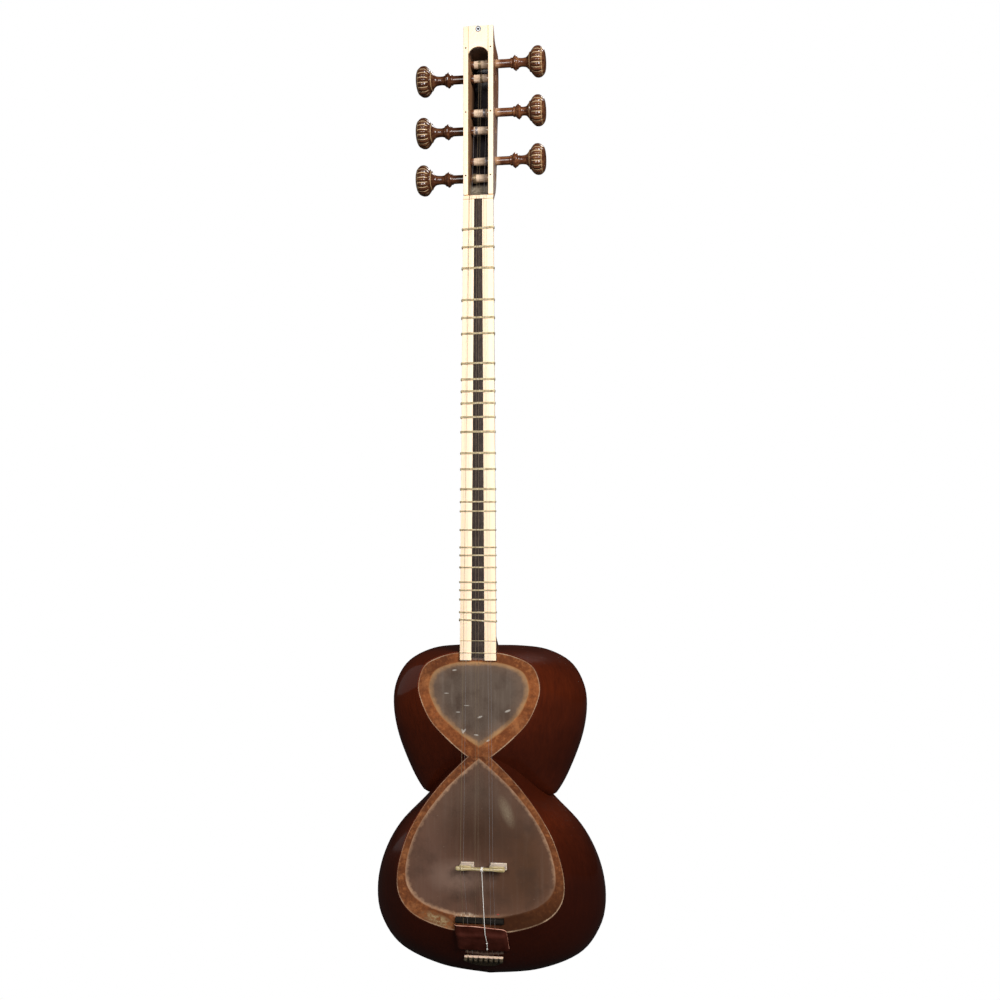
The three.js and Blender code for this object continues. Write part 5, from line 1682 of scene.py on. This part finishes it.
class TAR_OT_pegs(bpy.types.Operator):
    """Turn the six pegs and set them in the pegbox"""

    bl_idname = "tar.pegs"
    bl_label = "Pegs"

    def execute(self, context):
        for name in PEG_SHARES:
            peg = self.turned_peg(name)
            dress(peg, finish("peg_wood"), f"peg_{name}", [f"peg_{name}"])
        return {"FINISHED"}

    def turned_peg(self, name):
        s = sizes()
        side, level = peg_side(name), peg_level(name)
        half, reach, head = s.nut_width / 2, s.peg_reach, s.peg_head / 2
        start = RUNNING_GAP - half
        tip = shaft_radius(-half)
        profile = [(start, tip - PEG_CHAMFER, 0), (start + PEG_CHAMFER, tip, 0)]
        profile += [(x, shaft_radius(x), 0) for x in BARE_SHAFT]
        rows = []
        for share, radius in PEG_TURNING_SHARES:
            rows.append(Vector((half + self.moved(share, PEG_COLLARS[name]) * reach, radius * head)))
        for p in spaced(rows, PEG_STEPS):
            profile.append((p.x, p.y, PEG_FLUTE_DEPTH * self.fluted((p.x - half) / reach)))
        end, last = half + reach, profile[-1][1]
        for share in PEG_CROWN_SHARES:
            profile.append((end + PEG_CROWN * (1 - share**2), last * share, 0))
        rings = [round_ring(side * x, r, level, ripple=f) for x, r, f in profile]
        peg = soften(loft(f"turned_peg_{name}", rings, poles=(False, True)), 0, angle=40)
        mark(peg, "share", lambda at: (side * at.x - half) / reach)
        mark(peg, "groove", lambda at: self.groove(off_neck(at), level, (side * at.x - half) / reach))
        return peg

    def moved(self, share, crest):
        """A place on the pattern peg, moved so that its collar stands at crest."""
        if share >= HEAD_SHARE:
            return share
        if share < PEG_COLLAR_SHARE:
            return share * crest / PEG_COLLAR_SHARE
        return mix(crest, HEAD_SHARE, (share - PEG_COLLAR_SHARE) / (HEAD_SHARE - PEG_COLLAR_SHARE))

    def fluted(self, share):
        """1 where a peg's head is fluted and 0 beside it."""
        return smooth_step(share, *FLUTE_START_SHARES) * (1 - smooth_step(share, *FLUTE_END_SHARES))

    def groove(self, at, level, share):
        """1 in the middle of a groove between two flutes and 0 on their crests."""
        angle = math.atan2(at.z - level, at.y - PEG_AXIS_DEPTH)
        return (0.5 + 0.5 * math.cos(PEG_FLUTES * angle)) * self.fluted(share)


class TAR_OT_strings(bpy.types.Operator):
    """Give the strings their wire and wind their ends on the pegs"""

    bl_idname = "tar.strings"
    bl_label = "Strings"

    def execute(self, context):
        wires = ["brass", "steel", "brass", "brass", "steel", "steel"]
        for i, (wire, peg) in enumerate(zip(wires, STRING_PEGS), 1):
            finish_node(f"string_{i}", finish(wire))
            coil = self.coil(f"wound_{i}", f"winding_{i}", peg_level(peg))
            dress(coil, finish(wire), f"peg_{peg}", [f"winding_{i}"])
        return {"FINISHED"}

    def coil(self, name, node, level):
        """Turns of wire side by side on a peg's shaft."""
        low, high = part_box(node)
        wire = (high.x - low.x) / WINDING_TURNS / 2
        radius = (high.z - low.z) / 2 - wire * WIRE_SHARE
        steps = (WINDING_TURNS - 1) * WINDING_STEPS
        points = []
        for k in range(steps + 1):
            angle = 2 * math.pi * k / WINDING_STEPS
            x = mix(low.x + wire, high.x - wire, k / steps)
            depth = PEG_AXIS_DEPTH + radius * math.cos(angle)
            points.append(on_neck(x, depth, level + radius * math.sin(angle)))
        return tube(name, points, wire * WIRE_SHARE)


def squared(share):
    """A cosine or sine pushed outwards, so that a ring of them is squarer than a circle."""
    return math.copysign(abs(share) ** BRIDGE_SQUARENESS, share)


def pad_tables():
    """The depths of the wrist pad's solid at each of its levels: of its front, and of its seat."""
    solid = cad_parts["wrist_pad"]
    points = [solid.matrix_world @ v.co for v in solid.data.vertices]
    fronts, seats = [], []
    for level in sorted({round(p.z, 5) for p in points}):
        depths = [p.y for p in points if abs(p.z - level) < SAME_LEVEL]
        fronts.append((level, min(depths)))
        seats.append((level, max(depths)))
    return fronts, seats


class TAR_OT_bridge(bpy.types.Operator):
    """Stand the horn bridge on the large skin and tie its thread"""

    bl_idname = "tar.bridge"
    bl_label = "Bridge"

    def execute(self, context):
        low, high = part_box("bridge")
        middle = (low.z + high.z) / 2
        piece = self.beam(low, high, middle)
        for x, wide in zip(BRIDGE_LEG_PLACES, BRIDGE_LEG_WIDTHS):
            join_or_cut(piece, self.leg(x, wide / 2, low.y, high.y, middle), "UNION")
        soften(piece, BRIDGE_ROUNDING, 3, 40)
        dress(piece, finish("horn"), "bridge", ["bridge"])
        self.tie_thread(low.y, middle)
        return {"FINISHED"}

    def leg(self, x, half, front, back, middle):
        """One leg with its wider foot, from the beam down to the skin."""
        leg_middle, leg_half = middle + BRIDGE_LEG_RISE, BRIDGE_LEG_LENGTH / 2
        leg = box(
            "leg", (x - half, front + BRIDGE_BEAM_DEPTH * BRIDGE_LEG_TOP_SHARE, leg_middle - leg_half),
            (x + half, back - BRIDGE_FOOT_THICKNESS / 2, leg_middle + leg_half),
        )
        foot_half = half + BRIDGE_FOOT_MARGIN
        foot = box(
            "foot", (x - foot_half, back - BRIDGE_FOOT_THICKNESS, middle - BRIDGE_FOOT_LENGTH / 2),
            (x + foot_half, back, middle + BRIDGE_FOOT_LENGTH / 2),
        )
        return join_or_cut(leg, foot, "UNION")

    def beam(self, low, high, middle):
        """The beam across the top, thin in its middle and rounded at its ends."""
        rings = []
        for k in range(BRIDGE_STEPS + 1):
            share = k / BRIDGE_STEPS
            end = abs(2 * share - 1)
            thick = smooth_step(end, *BRIDGE_THICKENING_SHARES)
            past = max(end - BRIDGE_END_SHARE, 0) / (1 - BRIDGE_END_SHARE)
            round_off = math.sqrt(1 - BRIDGE_END_NARROWING * past**2)
            tall = mix(BRIDGE_BEAM_WAIST, BRIDGE_BEAM_END, thick) / 2 * round_off
            deep = BRIDGE_BEAM_DEPTH / 2 * round_off
            x, y = mix(low.x, high.x, share), low.y + BRIDGE_BEAM_DEPTH / 2 + STRING_GAP
            ring = []
            for step in range(BRIDGE_SIDES):
                angle = 2 * math.pi * step / BRIDGE_SIDES
                back, up = deep * squared(math.cos(angle)), tall * squared(math.sin(angle))
                ring.append(Vector((x, y + back, middle + up)))
            rings.append(ring)
        return loft("horn_bridge", rings)

    def tie_thread(self, front, middle):
        """Winds a thread round the beam and leads it down over the wrist pad, with two knots."""
        radius = BRIDGE_BEAM_WAIST / 2 + THREAD_RADIUS * THREAD_HOLD_SHARE
        deep = BRIDGE_BEAM_DEPTH / 2 + THREAD_RADIUS * THREAD_HOLD_SHARE
        turns = []
        for k in range(THREAD_TURNS * THREAD_TURN_STEPS + 1):
            angle = 2 * math.pi * k / THREAD_TURN_STEPS + math.pi
            x = THREAD_KNOT_X + THREAD_SWAY * math.sin(angle * THREAD_SWAY_PACE)
            y = front + BRIDGE_BEAM_DEPTH / 2 + deep * math.cos(angle)
            turns.append(Vector((x, y, middle + radius * math.sin(angle))))
        aside, behind, below = THREAD_LEAVES
        start = Vector((THREAD_KNOT_X + aside, front + behind, middle - radius - below))
        fronts, _ = pad_tables()
        path = [start]
        for x, z in THREAD_PLACES:
            path.append(Vector((x, smooth_table(fronts, z) - PAD_CROWN - THREAD_RADIUS, z)))
        line = tube("thread", [*turns, *spaced(path, THREAD_STEPS)], THREAD_RADIUS)
        knots = [self.pad_knot(x, smooth_table(fronts, z), z) for x, z in THREAD_PLACES[-PAD_KNOTS:]]
        thread = joined("bridge_thread", [line, *knots])
        thread.data.materials.clear()
        thread.data.materials.append(finish("thread"))
        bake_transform(thread)

    def pad_knot(self, x, front, z):
        """A knot of thread on the wrist pad."""
        centre = Vector((x, front - PAD_CROWN - PAD_KNOT_LIFT, z))
        points = []
        for k in range(PAD_KNOT_POINTS):
            angle = 2 * math.pi * k / PAD_KNOT_STEPS
            out = Vector((math.cos(angle), -PAD_KNOT_RISE * angle / math.pi, math.sin(angle)))
            points.append(centre + out * PAD_KNOT_RADIUS)
        return tube("knot", points, THREAD_RADIUS * 0.8, 6)


class TAR_OT_tail(bpy.types.Operator):
    """Fit the tail saddle, the comb that holds the strings and the wrist pad"""

    bl_idname = "tar.tail"
    bl_label = "Tail"

    def execute(self, context):
        saddle = refined("dark_saddle", "tail_saddle", SADDLE_ROUNDING)
        dress(saddle, finish("black_wood"), replaces=["tail_saddle"])
        comb = refined("bone_comb", "string_holder", COMB_ROUNDING)
        dress(comb, finish("comb"), replaces=["string_holder"])
        self.fronts, self.seats = pad_tables()
        dress(self.flap(), finish("leather"), replaces=["wrist_pad"])
        lift, side_lift = (PIPING * share for share in PIPING_LIFT_SHARES)
        top = [self.on_pad(k / PIPING_STEPS, 1, lift) for k in range(2, PIPING_STEPS - 1)]
        dress(tube("pad_piping", top, PIPING), finish("edging"))
        downs = [1 - k / SIDE_PIPING_STEPS for k in range(2, SIDE_PIPING_STEPS - 3)]
        side = [self.on_pad(SIDE_PIPING_SHARE, v, side_lift) for v in downs]
        dress(tube("pad_side_piping", side, PIPING / 2), finish("edging"))
        return {"FINISHED"}

    def on_pad(self, u, v, lift=0.0):
        """A point on the pad: u from its left to its right edge, v from its lower to its top one."""
        edge = min(min(u, 1 - u) / PAD_EDGE_SHARE, 1) * math.pi / 2
        side = PAD_SIDE * (1 - math.cos(edge))
        if u < PAD_EDGE_SHARE:
            x = PAD_LEFT + side
        elif u > 1 - PAD_EDGE_SHARE:
            x = PAD_RIGHT - side
        else:
            inner = (u - PAD_EDGE_SHARE) / (1 - 2 * PAD_EDGE_SHARE)
            x = mix(PAD_LEFT + PAD_SIDE, PAD_RIGHT - PAD_SIDE, inner)
        past = min(max(x - (PAD_RIGHT - PAD_CORNER), 0), PAD_CORNER)
        top = mix(PAD_TOP_LEFT, PAD_TOP_RIGHT, smooth_step(u, *PAD_SLOPE_SHARES))
        top -= PAD_CORNER - math.sqrt(PAD_CORNER**2 - past**2)
        z = mix(PAD_BOTTOM, top, v)
        swell = 0.4 + 0.6 * math.sin(math.pi * min(v, 0.9))
        crown = PAD_CROWN * math.sin(math.pi * min(max(u, 0), 1)) * swell
        front = smooth_table(self.fronts, z) - crown
        seat = smooth_table(self.seats, z) - PAD_SKIN
        return Vector((x, mix(seat, front, math.sin(edge)) - lift, z))

    def flap(self):
        """A crowned sheet of leather that comes down to the bowl at both sides."""
        bpy.ops.object.select_all(action="DESELECT")
        bpy.ops.mesh.primitive_grid_add(x_subdivisions=PAD_GRID[0], y_subdivisions=PAD_GRID[1], size=2)
        piece = bpy.context.object
        piece.name = "leather_pad"
        sheet = edit(piece)
        for vert in sheet.verts:
            vert.co = self.on_pad((vert.co.x + 1) / 2, (vert.co.y + 1) / 2)
        bmesh.update_edit_mesh(piece.data)
        leave_edit()
        apply_modifier(piece, "SOLIDIFY", thickness=PAD_SKIN, offset=-1.0)
        face_outwards(piece)
        return soften(piece, PAD_ROUNDING, 3, 50)


# The stage


class TAR_OT_stage(bpy.types.Operator):
    """Add the camera, the studio light and the pale floor"""

    bl_idname = "tar.stage"
    bl_label = "Studio"

    def execute(self, context):
        scene = context.scene
        turn = math.radians(CAMERA_TURN)
        along_view = Vector((math.sin(turn), -math.cos(turn), 0))
        across = Vector((math.cos(turn), math.sin(turn), 0))
        target = across * CAMERA_ASIDE + Vector((0, 0, CAMERA_LEVEL))
        camera = bpy.data.objects.new("camera", bpy.data.cameras.new("camera"))
        camera.data.lens, camera.data.sensor_width = CAMERA_LENS, CAMERA_SENSOR
        camera.location = target + along_view * CAMERA_DISTANCE
        camera.rotation_euler = (-along_view).to_track_quat("-Z", "Y").to_euler()
        camera.rotation_euler.rotate_axis("Z", -math.radians(CAMERA_ROLL))
        scene.collection.objects.link(camera)
        scene.camera = camera
        for name, place, aim, size, power in LIGHTS:
            lamp = bpy.data.lights.new(name, "AREA")
            lamp.shape, lamp.size, lamp.size_y, lamp.energy = "RECTANGLE", size[0], size[1], power
            light = bpy.data.objects.new(name, lamp)
            light.visible_camera = False
            light.visible_glossy = name not in SOFT_LIGHTS
            light.location = place
            light.rotation_euler = (Vector(aim) - Vector(place)).to_track_quat("-Z", "Y").to_euler()
            scene.collection.objects.link(light)
        self.add_world(scene)
        bpy.ops.object.select_all(action="DESELECT")
        bpy.ops.mesh.primitive_circle_add(
            vertices=FLOOR_SIDES, radius=FLOOR_RADIUS, fill_type="NGON", location=(0, 0, -FLOOR_DROP)
        )
        floor = context.object
        floor.name = "floor"
        settle(floor)
        floor.data.materials.append(self.paper())
        scene.view_settings.view_transform = "Standard"
        return {"FINISHED"}

    def paper(self):
        """Pale paper, lit so evenly that it looks as white as the backdrop."""
        made = bpy.data.materials.new("pale_paper")
        made.use_nodes = True
        tree = made.node_tree
        tree.nodes.clear()
        plain = tree.nodes.new("ShaderNodeBsdfDiffuse")
        plain.inputs["Color"].default_value = (FLOOR_TONE, FLOOR_TONE, FLOOR_TONE, 1)
        lit = tree.nodes.new("ShaderNodeEmission")
        lit.inputs["Strength"].default_value = BACKDROP_GLOW
        self.seen_as(tree, lit, plain, tree.nodes.new("ShaderNodeOutputMaterial"))
        return made

    def add_world(self, scene):
        """White behind the tar, and a dim room for what its gloss mirrors."""
        scene.world = bpy.data.worlds.new("studio")
        scene.world.use_nodes = True
        tree = scene.world.node_tree
        tree.nodes.clear()
        seen = tree.nodes.new("ShaderNodeBackground")
        seen.inputs["Color"].default_value = (1, 1, 1, 1)
        seen.inputs["Strength"].default_value = BACKDROP_GLOW
        room = tree.nodes.new("ShaderNodeBackground")
        room.inputs["Color"].default_value = (1, 0.97, 0.93, 1)
        room.inputs["Strength"].default_value = ROOM_GLOW
        self.seen_as(tree, seen, room, tree.nodes.new("ShaderNodeOutputWorld"))

    def seen_as(self, tree, seen, other, out):
        """Shows one shader to the camera and the other to all that it mirrors or lights."""
        ray = tree.nodes.new("ShaderNodeLightPath")
        choice = tree.nodes.new("ShaderNodeMixShader")
        tree.links.new(ray.outputs["Is Camera Ray"], choice.inputs[0])
        tree.links.new(other.outputs[0], choice.inputs[1])
        tree.links.new(seen.outputs[0], choice.inputs[2])
        tree.links.new(choice.outputs[0], out.inputs[0])


class TAR_PT_panel(bpy.types.Panel):
    """The tar's pieces, in the order in which they are made"""

    bl_idname = "TAR_PT_panel"
    bl_label = "Persian Tar"
    bl_space_type = "VIEW_3D"
    bl_region_type = "UI"
    bl_category = "Tar"

    def draw(self, context):
        for operator in OPERATORS:
            self.layout.operator(operator.bl_idname)
        for group in (context.scene.tar_sizes, context.scene.tar_colours):
            column = self.layout.column()
            for name in group.bl_rna.properties.keys():
                if name not in ("rna_type", "name"):
                    column.prop(group, name)


OPERATORS = [
    TAR_OT_stage, TAR_OT_body, TAR_OT_skins, TAR_OT_neck, TAR_OT_frets, TAR_OT_pegbox,
    TAR_OT_pegs, TAR_OT_strings, TAR_OT_bridge, TAR_OT_tail,
]
CLASSES = [TarSizes, TarColours, *OPERATORS, TAR_PT_panel]


def register():
    for one in CLASSES:
        bpy.utils.register_class(one)
    bpy.types.Scene.tar_sizes = PointerProperty(type=TarSizes)
    bpy.types.Scene.tar_colours = PointerProperty(type=TarColours)


def unregister():
    del bpy.types.Scene.tar_sizes
    del bpy.types.Scene.tar_colours
    for one in reversed(CLASSES):
        bpy.utils.unregister_class(one)


def main():
    register()
    bpy.ops.tar.stage()
    bpy.ops.tar.body()
    bpy.ops.tar.skins()
    bpy.ops.tar.neck()
    bpy.ops.tar.frets()
    bpy.ops.tar.pegbox()
    bpy.ops.tar.pegs()
    bpy.ops.tar.strings()
    bpy.ops.tar.bridge()
    bpy.ops.tar.tail()


if __name__ == "__main__":
    main()
